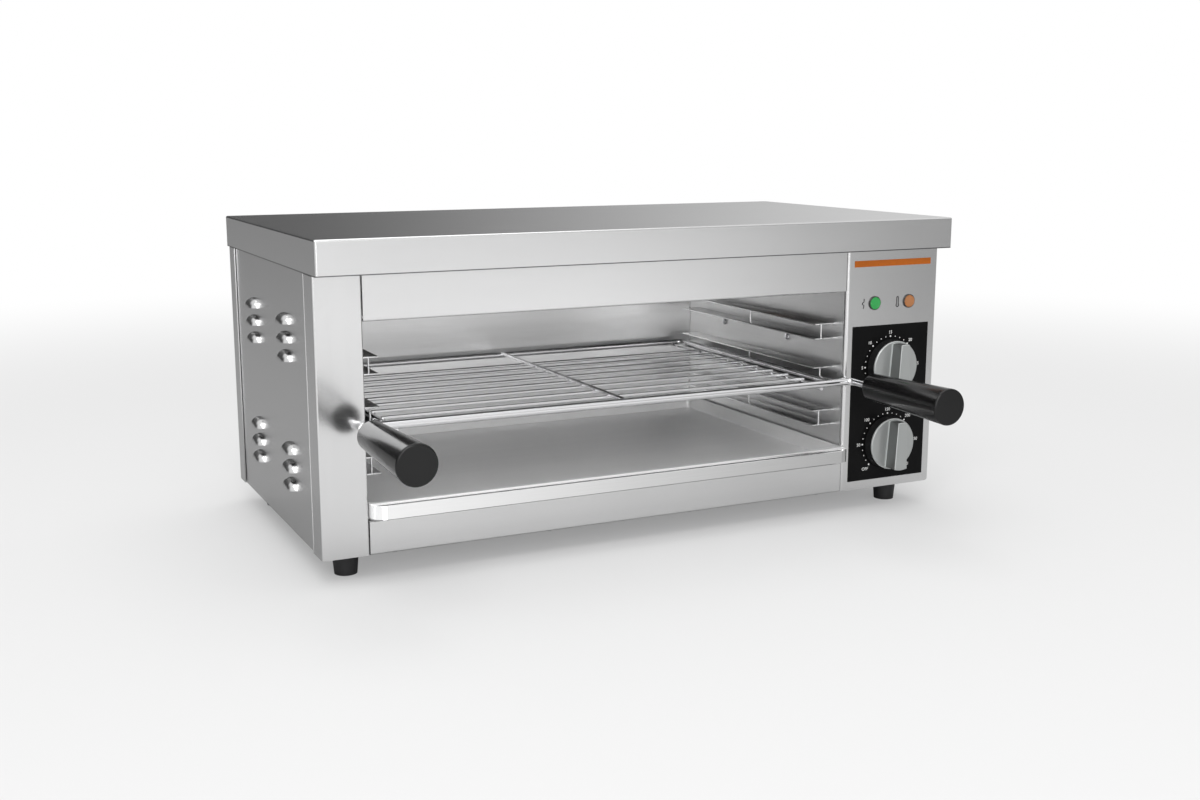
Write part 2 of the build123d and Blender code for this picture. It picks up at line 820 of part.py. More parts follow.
def make_grips():
    """Tapered grips on the two ends of the handle rod."""
    back = front - grip_stand_off
    bore = handle_rod_radius + weld_gap
    for x, name in ((handle_left, "grip_left"), (handle_right, "grip_right")):
        place = Plane(origin=(x, back, grid_z), z_dir=(0, -1, 0))
        with BuildPart() as grip:
            with BuildSketch(place):
                Circle(grip_rear_radius)
            with BuildSketch(place.offset(grip_length)):
                Circle(grip_front_radius)
            loft()
            fillet(grip.edges().filter_by(GeomType.CIRCLE), grip_edge)
            with BuildSketch(place):
                Circle(bore)
            extrude(amount=rod_in_grip + seat, mode=Mode.SUBTRACT)
        save(grip, name)


def make_tray():
    """Crumb tray, a shallow pan with a turned down lip to pull it by."""
    width = opening_width - 2 * tray_side_gap
    pan_front = front - seat
    tray_depth = wall_rear - tray_rear_gap - pan_front
    top = tray_underside + tray_wall_height
    lip_bottom = top - tray_lip_drop
    with BuildPart() as crumb_tray:
        with BuildSketch(plan(tray_underside)):
            with Locations((opening_centre, pan_front)):
                Rectangle(width, tray_depth, align=(Align.CENTER, Align.MIN))
        extrude(amount=tray_wall_height)
        fillet(crumb_tray.edges().filter_by(Axis.Z), tray_corner)
        fillet(crumb_tray.edges().group_by(Axis.Z)[0], tray_floor_bend)
        offset(amount=-tray_sheet, openings=crumb_tray.faces().sort_by(Axis.Z)[-1])
        with BuildSketch(plan(lip_bottom)) as lip:
            with Locations((opening_centre, pan_front)):
                Rectangle(width, tray_lip_reach, align=(Align.CENTER, Align.MAX))
            fillet(lip.vertices().group_by(Axis.Y)[0], tray_lip_corner)
            with Locations((opening_centre, pan_front)):
                Rectangle(width, tray_corner + tray_sheet, align=(Align.CENTER, Align.MIN))
        extrude(amount=tray_lip_drop)
        rim = [edge for edge in crumb_tray.edges().group_by(Axis.Z)[-1] if edge.center().Y < pan_front]
        fillet(rim, tray_lip_edge)
        with BuildSketch(plan(lip_bottom)) as hollow:
            with Locations((opening_centre, pan_front)):
                Rectangle(width - 2 * tray_sheet, tray_lip_reach - tray_sheet, align=(Align.CENTER, Align.MAX))
            fillet(hollow.vertices().group_by(Axis.Y)[0], tray_lip_corner - tray_sheet)
        extrude(amount=tray_lip_drop - tray_sheet, mode=Mode.SUBTRACT)
        with BuildSketch(plan(lip_bottom)):
            with Locations((opening_centre, pan_front + tray_sheet)):
                Rectangle(width - 2 * tray_sheet, tray_corner + tray_sheet, align=(Align.CENTER, Align.MIN))
        extrude(amount=tray_lip_drop, mode=Mode.SUBTRACT)
    save(crumb_tray, "crumb_tray")


def dial_places():
    """Centres of the timer and the thermostat dials, in x and z."""
    return [(panel_centre, plate_high - timer_drop), (panel_centre, plate_low + thermostat_rise)]


def make_panel_trim():
    """Dark plate behind the knobs and the coloured stripe above them."""
    with BuildPart() as dial_plate:
        with BuildSketch(section(front)):
            with Locations((panel_centre, plate_low)):
                Rectangle(trim_width, plate_height, align=(Align.CENTER, Align.MIN))
            with Locations(dial_places()):
                Circle(shaft_hole_radius, mode=Mode.SUBTRACT)
        extrude(amount=plate_thickness)
    save(dial_plate, "dial_plate")

    with BuildPart() as trim_stripe:
        with BuildSketch(section(front)):
            with Locations((panel_centre, casing_top - stripe_drop)):
                Rectangle(trim_width, stripe_height, align=(Align.CENTER, Align.MAX))
        extrude(amount=stripe_thickness)
    save(trim_stripe, "trim_stripe")


def lamp_places():
    """Centres of the green and the amber lamp, in x and z."""
    return [(panel_centre + side * lamp_spacing / 2, plate_high + lamp_rise) for side in (-1, 1)]


def make_lamps():
    """Indicator lamps: a lens with a ribbed neck each, and the housings behind the panel."""
    for place, name in zip(lamp_places(), ("lamp_lens_green", "lamp_lens_amber")):
        with BuildPart() as lens:
            with BuildSketch(section(front)):
                with Locations(place):
                    Circle(lamp_radius)
            extrude(amount=lamp_reach)
            fillet(lens.faces().sort_by(Axis.Y)[0].edges(), lamp_edge)
            with BuildSketch(section(front)):
                with Locations(place):
                    Circle(lamp_neck_radius)
            extrude(amount=-lamp_neck_length)
        save(lens, name)

    start = front + sheet + seat
    with BuildPart() as lamp_housings:
        with BuildSketch(section(start)):
            with Locations(lamp_places()):
                Circle(lamp_housing_radius)
        extrude(amount=-lamp_housing_length)
        with BuildSketch(section(start)):
            with Locations(lamp_places()):
                Circle(lamp_neck_radius + seat)
        extrude(amount=-(front + lamp_neck_length + seat - start), mode=Mode.SUBTRACT)
        with BuildSketch(section(start + lamp_housing_length)):
            for x, z in lamp_places():
                with Locations((x, z)):
                    with GridLocations(lamp_housing_radius, 1, 2, 1):
                        Rectangle(tab_thickness, tab_width)
        extrude(amount=-tab_length)
    save(lamp_housings, "lamp_housings")


def bar_outline(place, half_top, half_bottom):
    """Outline of the finger bar: a wedge with its ends on the cap's circle."""
    reach = bar_half_length + half_bottom
    slope = (half_bottom - half_top) / 2
    middle = (half_bottom + half_top) / 2
    stretch = reach / bar_half_length
    with BuildSketch(place) as outline:
        Polygon((-middle + slope * stretch, reach), (-middle - slope * stretch, -reach),
                (middle + slope * stretch, -reach), (middle - slope * stretch, reach), align=None)
        Circle(bar_half_length, mode=Mode.INTERSECT)
    return outline.sketch


def make_knob(prefix, place):
    """Knob with its tapered skirt, its bright cap with a finger bar, and its shaft."""
    x, z = place
    dial = Plane(origin=(x, front, z), x_dir=(1, 0, 0), z_dir=(0, -1, 0))
    start = plate_thickness + knob_gap
    face = knob_height - cap_thickness - weld_gap
    hub_start = start + knob_gap
    bore = shaft_radius + running_gap
    bore_end = face - knob_wall / 2
    inside = face - knob_wall
    with BuildPart() as skirt:
        with BuildSketch(Plane(origin=(x, front, z), x_dir=(1, 0, 0), z_dir=(0, 0, 1))):
            with BuildLine():
                Polyline((bore, -hub_start), (knob_hub_radius, -hub_start), (knob_hub_radius, -inside),
                         (knob_front_radius - knob_wall, -inside), (knob_rear_radius - knob_wall, -start),
                         (knob_rear_radius, -start), (knob_front_radius, -face), (0, -face), (0, -bore_end),
                         (bore, -bore_end), close=True)
            make_face()
        revolve(axis=Axis((x, front, z), (0, 1, 0)))
    save(skirt, f"{prefix}_knob_skirt")

    with BuildPart() as cap:
        with BuildSketch(dial.offset(knob_height - cap_thickness)):
            Circle(knob_front_radius)
        extrude(amount=cap_thickness)
        fillet(cap.faces().sort_by(Axis.Y)[0].edges(), cap_edge)
        add(bar_outline(dial.offset(knob_height - cap_edge), bar_base_top, bar_base_bottom))
        add(bar_outline(dial.offset(knob_height + bar_height), bar_face_top, bar_face_bottom))
        loft()
        fillet(cap.faces().sort_by(Axis.Y)[0].edges(), cap_edge)
    save(cap, f"{prefix}_knob_cap")

    with BuildPart() as shaft:
        with BuildSketch(dial.offset(-(sheet + seat + shaft_in_body))):
            Circle(shaft_radius)
        extrude(amount=sheet + seat + shaft_in_body + bore_end - seat)
        chamfer(shaft.edges().filter_by(GeomType.CIRCLE), shaft_chamfer)
    save(shaft, f"{prefix}_shaft")


def make_control_body(name, place, height, length):
    """Body of a control behind the panel, with its shaft's bore and its terminal tabs."""
    x, z = place
    start = front + sheet + seat
    with BuildPart() as body:
        with BuildSketch(section(start)):
            with Locations(place):
                RectangleRounded(control_body_width, height, control_body_corner)
        extrude(amount=-length)
        chamfer(body.faces().sort_by(Axis.Y)[-1].edges(), control_body_corner / 2)
        with BuildSketch(section(start)):
            with Locations(place):
                Circle(shaft_radius + running_gap)
        extrude(amount=-(shaft_in_body + seat), mode=Mode.SUBTRACT)
        with BuildSketch(section(start + length)):
            with Locations((x, z + height / 4)):
                with GridLocations(control_body_width / 4, 1, 3, 1):
                    Rectangle(tab_thickness, tab_width)
        extrude(amount=-tab_length)
    save(body, name)


def make_controls():
    """Timer, thermostat, their knobs, and the thermostat's capillary with its bulb."""
    timer_place, thermostat_place = dial_places()
    make_knob("timer", timer_place)
    make_knob("thermostat", thermostat_place)
    make_control_body("timer_body", timer_place, control_body_width, timer_body_length)
    height = thermostat_body_height
    make_control_body("thermostat_body", thermostat_place, height, thermostat_body_length)

    start = front + sheet + seat + thermostat_body_length + seat
    low = thermostat_place[1] - height / 4
    end = wall_right + liner_sheet + bulb_outside
    points = [(panel_centre, start, low), (panel_centre, probe_y(), low), (panel_centre, probe_y(), element_z),
              (end, probe_y(), element_z)]
    with BuildPart() as thermostat_probe:
        with BuildLine() as path:
            FilletPolyline(*points, radius=capillary_bend)
        with BuildSketch(Plane(origin=path.line @ 0, z_dir=path.line % 0)):
            Circle(capillary_radius)
        sweep()
        with BuildSketch(Plane(origin=path.line @ 1, z_dir=(-1, 0, 0))):
            Circle(bulb_radius)
        extrude(amount=bulb_length)
        fillet(thermostat_probe.faces().sort_by(Axis.X)[0].edges(), bulb_radius / 2)
    save(thermostat_probe, "thermostat_probe")


def make_supply():
    """Cable gland with its nut, and the terminal block inside."""
    outside = Plane(origin=(panel_centre, rear, gland_z), x_dir=(1, 0, 0), z_dir=(0, 1, 0))
    with BuildPart() as cable_gland:
        with BuildSketch(outside):
            RegularPolygon(gland_flats / 2, 6, major_radius=False)
        extrude(amount=gland_hex)
        with BuildSketch(outside.offset(gland_hex)):
            Circle(gland_flats / 2 - gland_shoulder)
        extrude(amount=gland_dome, taper=8)
        fillet(cable_gland.faces().sort_by(Axis.Y)[-1].edges(), gland_dome_edge)
        with BuildSketch(outside):
            Circle(gland_thread_radius)
        extrude(amount=-gland_tail)
        with BuildSketch(outside.offset(-gland_tail)):
            Circle(gland_bore)
        extrude(amount=gland_tail + gland_reach, mode=Mode.SUBTRACT)
    save(cable_gland, "cable_gland")

    with BuildPart() as gland_nut:
        with BuildSketch(outside.offset(-(sheet + seat))):
            RegularPolygon(gland_flats / 2, 6, major_radius=False)
            Circle(gland_thread_radius + weld_gap, mode=Mode.SUBTRACT)
        extrude(amount=-gland_nut_height)
    save(gland_nut, "gland_nut")

    place = (panel_centre, rear - terminal_inset)
    with BuildPart() as terminal_block:
        with BuildSketch(plan(base_top + seat)):
            with Locations(place):
                RectangleRounded(terminal_width, terminal_depth, terminal_corner)
        extrude(amount=terminal_height)
        with BuildSketch(plan(base_top + seat + terminal_height)):
            with Locations(place):
                with GridLocations(terminal_width / terminal_poles, terminal_depth / 2, terminal_poles, 2):
                    Circle(terminal_hole_radius)
        extrude(amount=-terminal_height / 2, mode=Mode.SUBTRACT)
    save(terminal_block, "terminal_block")


def main():
    """Make every piece and write it."""
    os.makedirs("parts", exist_ok=True)
    make_cover()
    make_base()
    make_front()
    make_side_panels()
    make_rear_panel()
    make_feet()
    make_screws()
    make_liner()
    make_tray_rails()
    make_runners()
    make_elements()
    make_grid()
    make_grips()
    make_tray()
    make_panel_trim()
    make_lamps()
    make_controls()
    make_supply()


if __name__ == "__main__":
    main()
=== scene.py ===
"""Looks of a countertop salamander toaster in brushed sheet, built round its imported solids.

Lengths are in metres. x runs to the right along the casing, y to the back and z up.
"""
import json
import logging
import math
from dataclasses import dataclass
from enum import Enum

import bmesh
import bpy
from mathutils import Matrix, Vector


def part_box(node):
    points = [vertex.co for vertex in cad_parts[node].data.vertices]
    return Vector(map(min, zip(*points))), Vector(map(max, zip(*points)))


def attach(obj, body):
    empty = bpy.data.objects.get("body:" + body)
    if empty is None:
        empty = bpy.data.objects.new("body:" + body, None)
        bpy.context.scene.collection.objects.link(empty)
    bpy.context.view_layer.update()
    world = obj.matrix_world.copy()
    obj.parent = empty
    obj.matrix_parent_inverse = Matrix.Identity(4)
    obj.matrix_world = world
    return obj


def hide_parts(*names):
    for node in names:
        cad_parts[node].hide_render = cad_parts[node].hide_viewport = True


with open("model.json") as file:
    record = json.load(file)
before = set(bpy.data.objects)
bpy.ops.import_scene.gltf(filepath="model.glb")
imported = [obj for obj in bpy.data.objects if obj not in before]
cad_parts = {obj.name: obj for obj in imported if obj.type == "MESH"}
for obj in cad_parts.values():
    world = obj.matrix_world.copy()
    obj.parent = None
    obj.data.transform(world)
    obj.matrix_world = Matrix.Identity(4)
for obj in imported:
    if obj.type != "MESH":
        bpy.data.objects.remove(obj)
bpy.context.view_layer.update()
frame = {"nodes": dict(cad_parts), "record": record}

LOG = logging.getLogger("toaster")
MM = 0.001
SAME_POINT = 0.01 * MM
LENS_REACH = 1.9 * MM
FACET_DEPTH = 0.5 * MM
Colour = tuple[float, float, float]
Grade = tuple[float, float, float, float]
Socket = bpy.types.NodeSocket
Tree = bpy.types.NodeTree
Mesh = bpy.types.Mesh
BMesh = bmesh.types.BMesh
BMVert = bmesh.types.BMVert


class Body(Enum):
    """Rigid bodies of the toaster that a new piece can ride on."""

    HOUSING = "housing"
    GRID = "grid"


class Grain(Enum):
    """Direction of the brushing, as how often the pattern repeats per metre along x, y and z."""

    ALONG_X = (14.0, 900.0, 900.0)
    ALONG_Y = (900.0, 14.0, 900.0)
    ALONG_Z = (900.0, 900.0, 14.0)


class Graph:
    """A node tree with short calls that add nodes and join them."""

    def __init__(self, tree: Tree) -> None:
        """Keep the tree to work in."""
        self.tree = tree

    def feed(self, target: Socket, value: object) -> None:
        """Join a socket to a target, or write a plain value on it.

        Args:
            target: The input that takes the value.
            value: An output socket or a plain value.
        """
        if isinstance(value, Socket):
            self.tree.links.new(value, target)
        else:
            target.default_value = value

    def node(self, kind: str, inputs: dict[str | int, object] | None = None,
             **settings: object) -> bpy.types.Node:
        """Add one node.

        Args:
            kind: Blender's name of the node type.
            inputs: Sockets or plain values, by input name or number.
            **settings: Properties of the node itself.

        Returns:
            The new node.
        """
        made = self.tree.nodes.new(kind)
        for name, value in settings.items():
            setattr(made, name, value)
        for key, value in (inputs or {}).items():
            self.feed(made.inputs[key], value)
        return made

    def maths(self, operation: str, first: object, second: object) -> Socket:
        """Work out one sum, such as ADD, from two values or sockets."""
        return self.node("ShaderNodeMath", {0: first, 1: second}, operation=operation).outputs[0]

    def times(self, first: object, second: object) -> Socket:
        """Multiply two values or sockets."""
        return self.maths("MULTIPLY", first, second)

    def between(self, share: object, first: object, second: object) -> Socket:
        """Go a share of the way from the first value to the second."""
        return self.maths("ADD", first, self.times(share, self.maths("SUBTRACT", second, first)))

    def spread(self, value: Socket, low: float, high: float, to_low: float = 0.0,
               to_high: float = 1.0) -> Socket:
        """Map a value smoothly from one range to another, clamped.

        Args:
            value: The socket to map.
            low: Lower end of the input range.
            high: Upper end of the input range.
            to_low: Result at the lower end.
            to_high: Result at the upper end.

        Returns:
            The mapped value's socket.
        """
        return self.node("ShaderNodeMapRange", {
            "Value": value, "From Min": low, "From Max": high, "To Min": to_low, "To Max": to_high,
        }, interpolation_type="SMOOTHSTEP").outputs["Result"]

    def noise(self, place: Socket, scale: object, detail: float = 2.0) -> Socket:
        """Read a noise texture at a place, with its repeats per unit and number of finer layers."""
        return self.node("ShaderNodeTexNoise", {"Vector": place, "Scale": scale, "Detail": detail}).outputs[0]

    def blend(self, share: object, first: object, second: object) -> Socket:
        """Mix two colours by a share of the second."""
        return self.node("ShaderNodeMix", {0: share, 6: first, 7: second}, data_type="RGBA").outputs[2]


def opened_group(name: str, kind: str, inputs: dict[str, str], outputs: dict[str, str]) -> Graph:
    """Make an empty node group with its sockets.

    Args:
        name: The group's name.
        kind: Shader or Geometry.
        inputs: Type of each input by its name, such as Float.
        outputs: Type of each output by its name.

    Returns:
        The group as a graph.
    """
    tree = bpy.data.node_groups.new(name, f"{kind}NodeTree")
    for way, sockets in (("INPUT", inputs), ("OUTPUT", outputs)):
        for socket, socket_type in sockets.items():
            tree.interface.new_socket(name=socket, in_out=way, socket_type=f"NodeSocket{socket_type}")
    return Graph(tree)


def rgba(colour: Colour, share: float = 1.0) -> tuple[float, float, float, float]:
    """Give a colour its full alpha, made darker or brighter by a share."""
    return (*(min(1.0, c * share) for c in colour), 1.0)


class Effects:
    """Shader node groups that several finishes share."""

    SURFACE = {"Tone": "Float", "Roughness": "Float", "Height": "Float"}

    def __init__(self) -> None:
        """Build each group once."""
        self.brushing = self._brushing()
        self.stipple = self._stipple()
        self.handling = self._handling()

    @staticmethod
    def _finished(graph: Graph, given: object, tone: Socket, height: Socket) -> Tree:
        """Join a surface group's outputs, with a roughness that sways with the tone.

        Args:
            graph: The group.
            given: Its input sockets.
            tone: A value that changes slowly round 0.5.
            height: The relief's height.

        Returns:
            The group's tree.
        """
        sway = graph.times(graph.maths("SUBTRACT", tone, 0.5), given["Spread"])
        graph.node("NodeGroupOutput", {
            "Tone": graph.spread(tone, 0.3, 0.7),
            "Roughness": graph.maths("ADD", given["Base Roughness"], sway),
            "Height": height,
        })
        return graph.tree

    def _brushing(self) -> Tree:
        """Make fine parallel scratches with slow bands, for brushed sheet.

        Returns:
            A group with outputs Tone, Roughness and Height.
        """
        graph = opened_group("brushing", "Shader", {
            "Stretch": "Vector", "Base Roughness": "Float", "Spread": "Float"}, self.SURFACE)
        given = graph.node("NodeGroupInput").outputs
        place = graph.node("ShaderNodeTexCoord").outputs["Object"]
        stretched = graph.node("ShaderNodeVectorMath", {0: place, 1: given["Stretch"]},
                               operation="MULTIPLY").outputs[0]
        fine = graph.noise(stretched, 1.0, 3.0)
        bands = graph.between(0.4, fine, graph.noise(stretched, 0.09))
        tone = graph.between(0.3, bands, graph.noise(place, 9.0))
        return self._finished(graph, given, tone, fine)

    def _stipple(self) -> Tree:
        """Make a fine moulded texture with slow shine changes, for plastics and rubber.

        Returns:
            A group with outputs Tone, Roughness and Height.
        """
        graph = opened_group("stipple", "Shader", {
            "Grain Size": "Float", "Base Roughness": "Float", "Spread": "Float"}, self.SURFACE)
        given = graph.node("NodeGroupInput").outputs
        place = graph.node("ShaderNodeTexCoord").outputs["Object"]
        grain = graph.noise(place, graph.maths("DIVIDE", 1.0, given["Grain Size"]))
        return self._finished(graph, given, graph.noise(place, 35.0, 3.0), grain)

    @staticmethod
    def _handling() -> Tree:
        """Make faint smudges from hands and cloths.

        Returns:
            A group with the output Smudge.
        """
        graph = opened_group("handling", "Shader", {"Amount": "Float"}, {"Smudge": "Float"})
        given = graph.node("NodeGroupInput").outputs
        cloud = graph.noise(graph.node("ShaderNodeTexCoord").outputs["Object"], 6.0, 4.0)
        patch = graph.spread(cloud, 0.52, 0.72)
        graph.node("NodeGroupOutput", {"Smudge": graph.times(patch, given["Amount"])})
        return graph.tree


class Material(Graph):
    """A material with one Principled shader."""

    def __init__(self, name: str) -> None:
        """Start a material of that name."""
        self.made = bpy.data.materials.new(name)
        self.made.use_nodes = True
        super().__init__(self.made.node_tree)
        self.tree.nodes.clear()
        self.shader = self.node("ShaderNodeBsdfPrincipled")
        self.out = self.node("ShaderNodeOutputMaterial", {"Surface": self.shader.outputs[0]})

    def dress(self, **values: object) -> None:
        """Set the shader's inputs, by name with _ for a space, to sockets or plain values."""
        for name, value in values.items():
            self.feed(self.shader.inputs[name.replace("_", " ")], value)

    def place(self) -> tuple[Socket, ...]:
        """Give the piece's own x, y and z as sockets."""
        whole = self.node("ShaderNodeTexCoord").outputs["Object"]
        return tuple(self.node("ShaderNodeSeparateXYZ", {0: whole}).outputs)

    def stippled(self, effects: Effects, grain_size: float, roughness: float, spread: float) -> object:
        """Place the moulded texture and take the roughness from it.

        Args:
            effects: The shared node groups.
            grain_size: Size of the texture's grain.
            roughness: Mean roughness.
            spread: How far the roughness sways.

        Returns:
            The texture's outputs.
        """
        grain = self.node("ShaderNodeGroup", {
            "Grain Size": grain_size, "Base Roughness": roughness, "Spread": spread,
        }, node_tree=effects.stipple).outputs
        self.dress(Roughness=grain["Roughness"])
        return grain

    def varied(self, tone: Socket, colour: Colour, contrast: float) -> Socket:
        """Let a colour swing with a tone, by a contrast each way."""
        return self.blend(tone, rgba(colour, 1 - contrast), rgba(colour, 1 + contrast))

    def bump(self, height: Socket, strength: float, distance: float, under: Socket | None = None) -> Socket:
        """Let a height bend the normals.

        Args:
            height: The height's socket.
            strength: Share of the effect, 0 to 1.
            distance: Real height in metres.
            under: The normals to bend, if they aren't the mesh's own.

        Returns:
            The bent normals.
        """
        made = self.node("ShaderNodeBump", {"Strength": strength, "Distance": distance, "Height": height})
        if under is not None:
            self.feed(made.inputs["Normal"], under)
        self.dress(Normal=made.outputs["Normal"])
        return made.outputs["Normal"]


@dataclass(frozen=True)
class SheetFinish:
    """Brushed or bright metal sheet, with a painted shade line along its hem or a polished lip where it has one.
    """

    name: str
    colour: Colour
    roughness: float
    grain: Grain
    spread: float = 0.03
    contrast: float = 0.02
    scratch: float = 0.0004 * MM
    scratch_share: float = 0.5
    smudge: float = 0.015
    metallic: float = 1.0
    # Painted shade: the named node's piece gets a dark line painted along its lower edge.
    shade_line_of: str | None = None
    shade_line_colour: Colour = (0.16, 0.16, 0.16)
    shade_line_width: float = 0.6 * MM
    lip_shine: float | None = None
    lip_lean: float = 0.2
    lip_start: float = 4.0 * MM
    lip_full: float = 12.0 * MM

    def make(self, effects: Effects) -> bpy.types.Material:
        """Build the material.

        Args:
            effects: The shared node groups.

        Returns:
            The material.
        """
        material = Material(self.name)
        brush = material.node("ShaderNodeGroup", {
            "Stretch": self.grain.value, "Base Roughness": self.roughness, "Spread": self.spread,
        }, node_tree=effects.brushing).outputs
        hands = material.node("ShaderNodeGroup", {"Amount": self.smudge}, node_tree=effects.handling)
        colour = material.varied(brush["Tone"], self.colour, self.contrast)
        rough = material.maths("ADD", brush["Roughness"], hands.outputs[0])
        metallic, under = self.metallic, None
        # Painted shade: a dark line along the bottom edge, fading out within two widths, for the shade at the
        # hem's edge.
        if self.shade_line_of is not None:
            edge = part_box(self.shade_line_of)[0].z + self.shade_line_width
            painted_shade_line = material.spread(material.place()[2], edge, edge + self.shade_line_width, 1.0, 0.0)
            colour = material.blend(painted_shade_line, colour, rgba(self.shade_line_colour))
        if self.lip_shine is not None:
            _, y, z = material.place()
            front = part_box("lower_fascia")[0].y
            lip = material.spread(y, front - self.lip_full, front - self.lip_start, 1.0, 0.0)
            rough = material.between(lip, rough, self.lip_shine)
            metallic = material.between(lip, self.metallic, 1.0)
            under = material.bump(material.times(lip, material.times(z, -self.lip_lean)), 1.0, 1.0)
        material.dress(Base_Color=colour, Roughness=rough, Metallic=metallic)
        material.bump(brush["Height"], self.scratch_share, self.scratch, under)
        return material.made


@dataclass(frozen=True)
class KnobFinish:
    """Silver lacquer on a knob's cap, with painted shade on the finger bar's walls and painted highlights on its
    edges.
    """

    name: str
    colour: Colour
    roughness: float
    # Painted shade share on the bar's walls, and painted highlight share on the rim and bar edges.
    wall_shade_share: float = 0.48
    edge_highlight_share: float = 1.9
    bar_height: float = 13.5 * MM
    edge_width: float = 0.8 * MM
    slanted: tuple[float, float] = (0.55, 0.93)
    metallic: float = 0.6
    grain_size: float = 0.5 * MM
    spread: float = 0.08
    relief: float = 0.004 * MM
    relief_share: float = 0.3

    def make(self, effects: Effects) -> bpy.types.Material:
        """Build the material.

        Args:
            effects: The shared node groups.

        Returns:
            The material.
        """
        material = Material(self.name)
        grain = material.stippled(effects, self.grain_size, self.roughness, self.spread)
        y = material.place()[1]
        normal = material.node("ShaderNodeNewGeometry").outputs["Normal"]
        facing = material.node("ShaderNodeSeparateXYZ", {0: normal}).outputs[1]
        steep = material.spread(material.maths("ABSOLUTE", facing, 0.0), *self.slanted, 1.0, 0.0)
        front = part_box("timer_knob_cap")[0].y
        base = front + self.bar_height
        on_bar = material.spread(y, base - 2 * self.edge_width, base - self.edge_width, 1.0, 0.0)
        below_rim = material.spread(y, front + self.edge_width / 2, front + self.edge_width)
        # Painted shade darkens the bar's steep side walls; a painted highlight brightens the other steep faces at
        # the rim and edges.
        wall = material.times(steep, material.times(on_bar, below_rim))
        colour = material.blend(wall, rgba(self.colour), rgba(self.colour, self.wall_shade_share))
        painted_edge_highlight = material.maths("SUBTRACT", steep, wall)
        colour = material.blend(painted_edge_highlight, colour, rgba(self.colour, self.edge_highlight_share))
        material.dress(Base_Color=colour, Metallic=self.metallic)
        material.bump(grain["Height"], self.relief_share, self.relief)
        return material.made


@dataclass(frozen=True)
class LensFinish:
    """Clear coloured plastic of a lamp, with painted shade in the grooves between its facets."""

    name: str
    colour: Colour
    roughness: float = 0.16
    groove_shade_share: float = 0.35
    grain_size: float = 0.6 * MM
    spread: float = 0.04
    coat: float = 0.3
    coat_roughness: float = 0.08
    reach: float = LENS_REACH
    depth: float = FACET_DEPTH

    def make(self, effects: Effects) -> bpy.types.Material:
        """Build the material.

        Args:
            effects: The shared node groups.

        Returns:
            The material.
        """
        material = Material(self.name)
        material.stippled(effects, self.grain_size, self.roughness, self.spread)
        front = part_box("control_panel")[0].y - self.reach
        # Painted shade: darker towards the bottoms of the facets, in the grooves.
        groove_shade = material.spread(material.place()[1], front + 0.25 * self.depth, front + self.depth)
        colour = material.blend(groove_shade, rgba(self.colour), rgba(self.colour, self.groove_shade_share))
        material.dress(Base_Color=colour, Coat_Weight=self.coat, Coat_Roughness=self.coat_roughness)
        return material.made


@dataclass(frozen=True)
class MouldedFinish:
    """Moulded plastic, rubber, ceramic or paint."""

    name: str
    colour: Colour
    roughness: float
    grain_size: float = 0.6 * MM
    relief: float = 0.02 * MM
    spread: float = 0.12
    contrast: float = 0.12
    specular: float = 0.5
    relief_share: float = 0.4

    def make(self, effects: Effects) -> bpy.types.Material:
        """Build the material.

        Args:
            effects: The shared node groups.

        Returns:
            The material.
        """
        material = Material(self.name)
        grain = material.stippled(effects, self.grain_size, self.roughness, self.spread)
        material.dress(Base_Color=material.varied(grain["Tone"], self.colour, self.contrast), Metallic=0.0,
                       Specular_IOR_Level=self.specular)
        material.bump(grain["Height"], self.relief_share, self.relief)
        return material.made


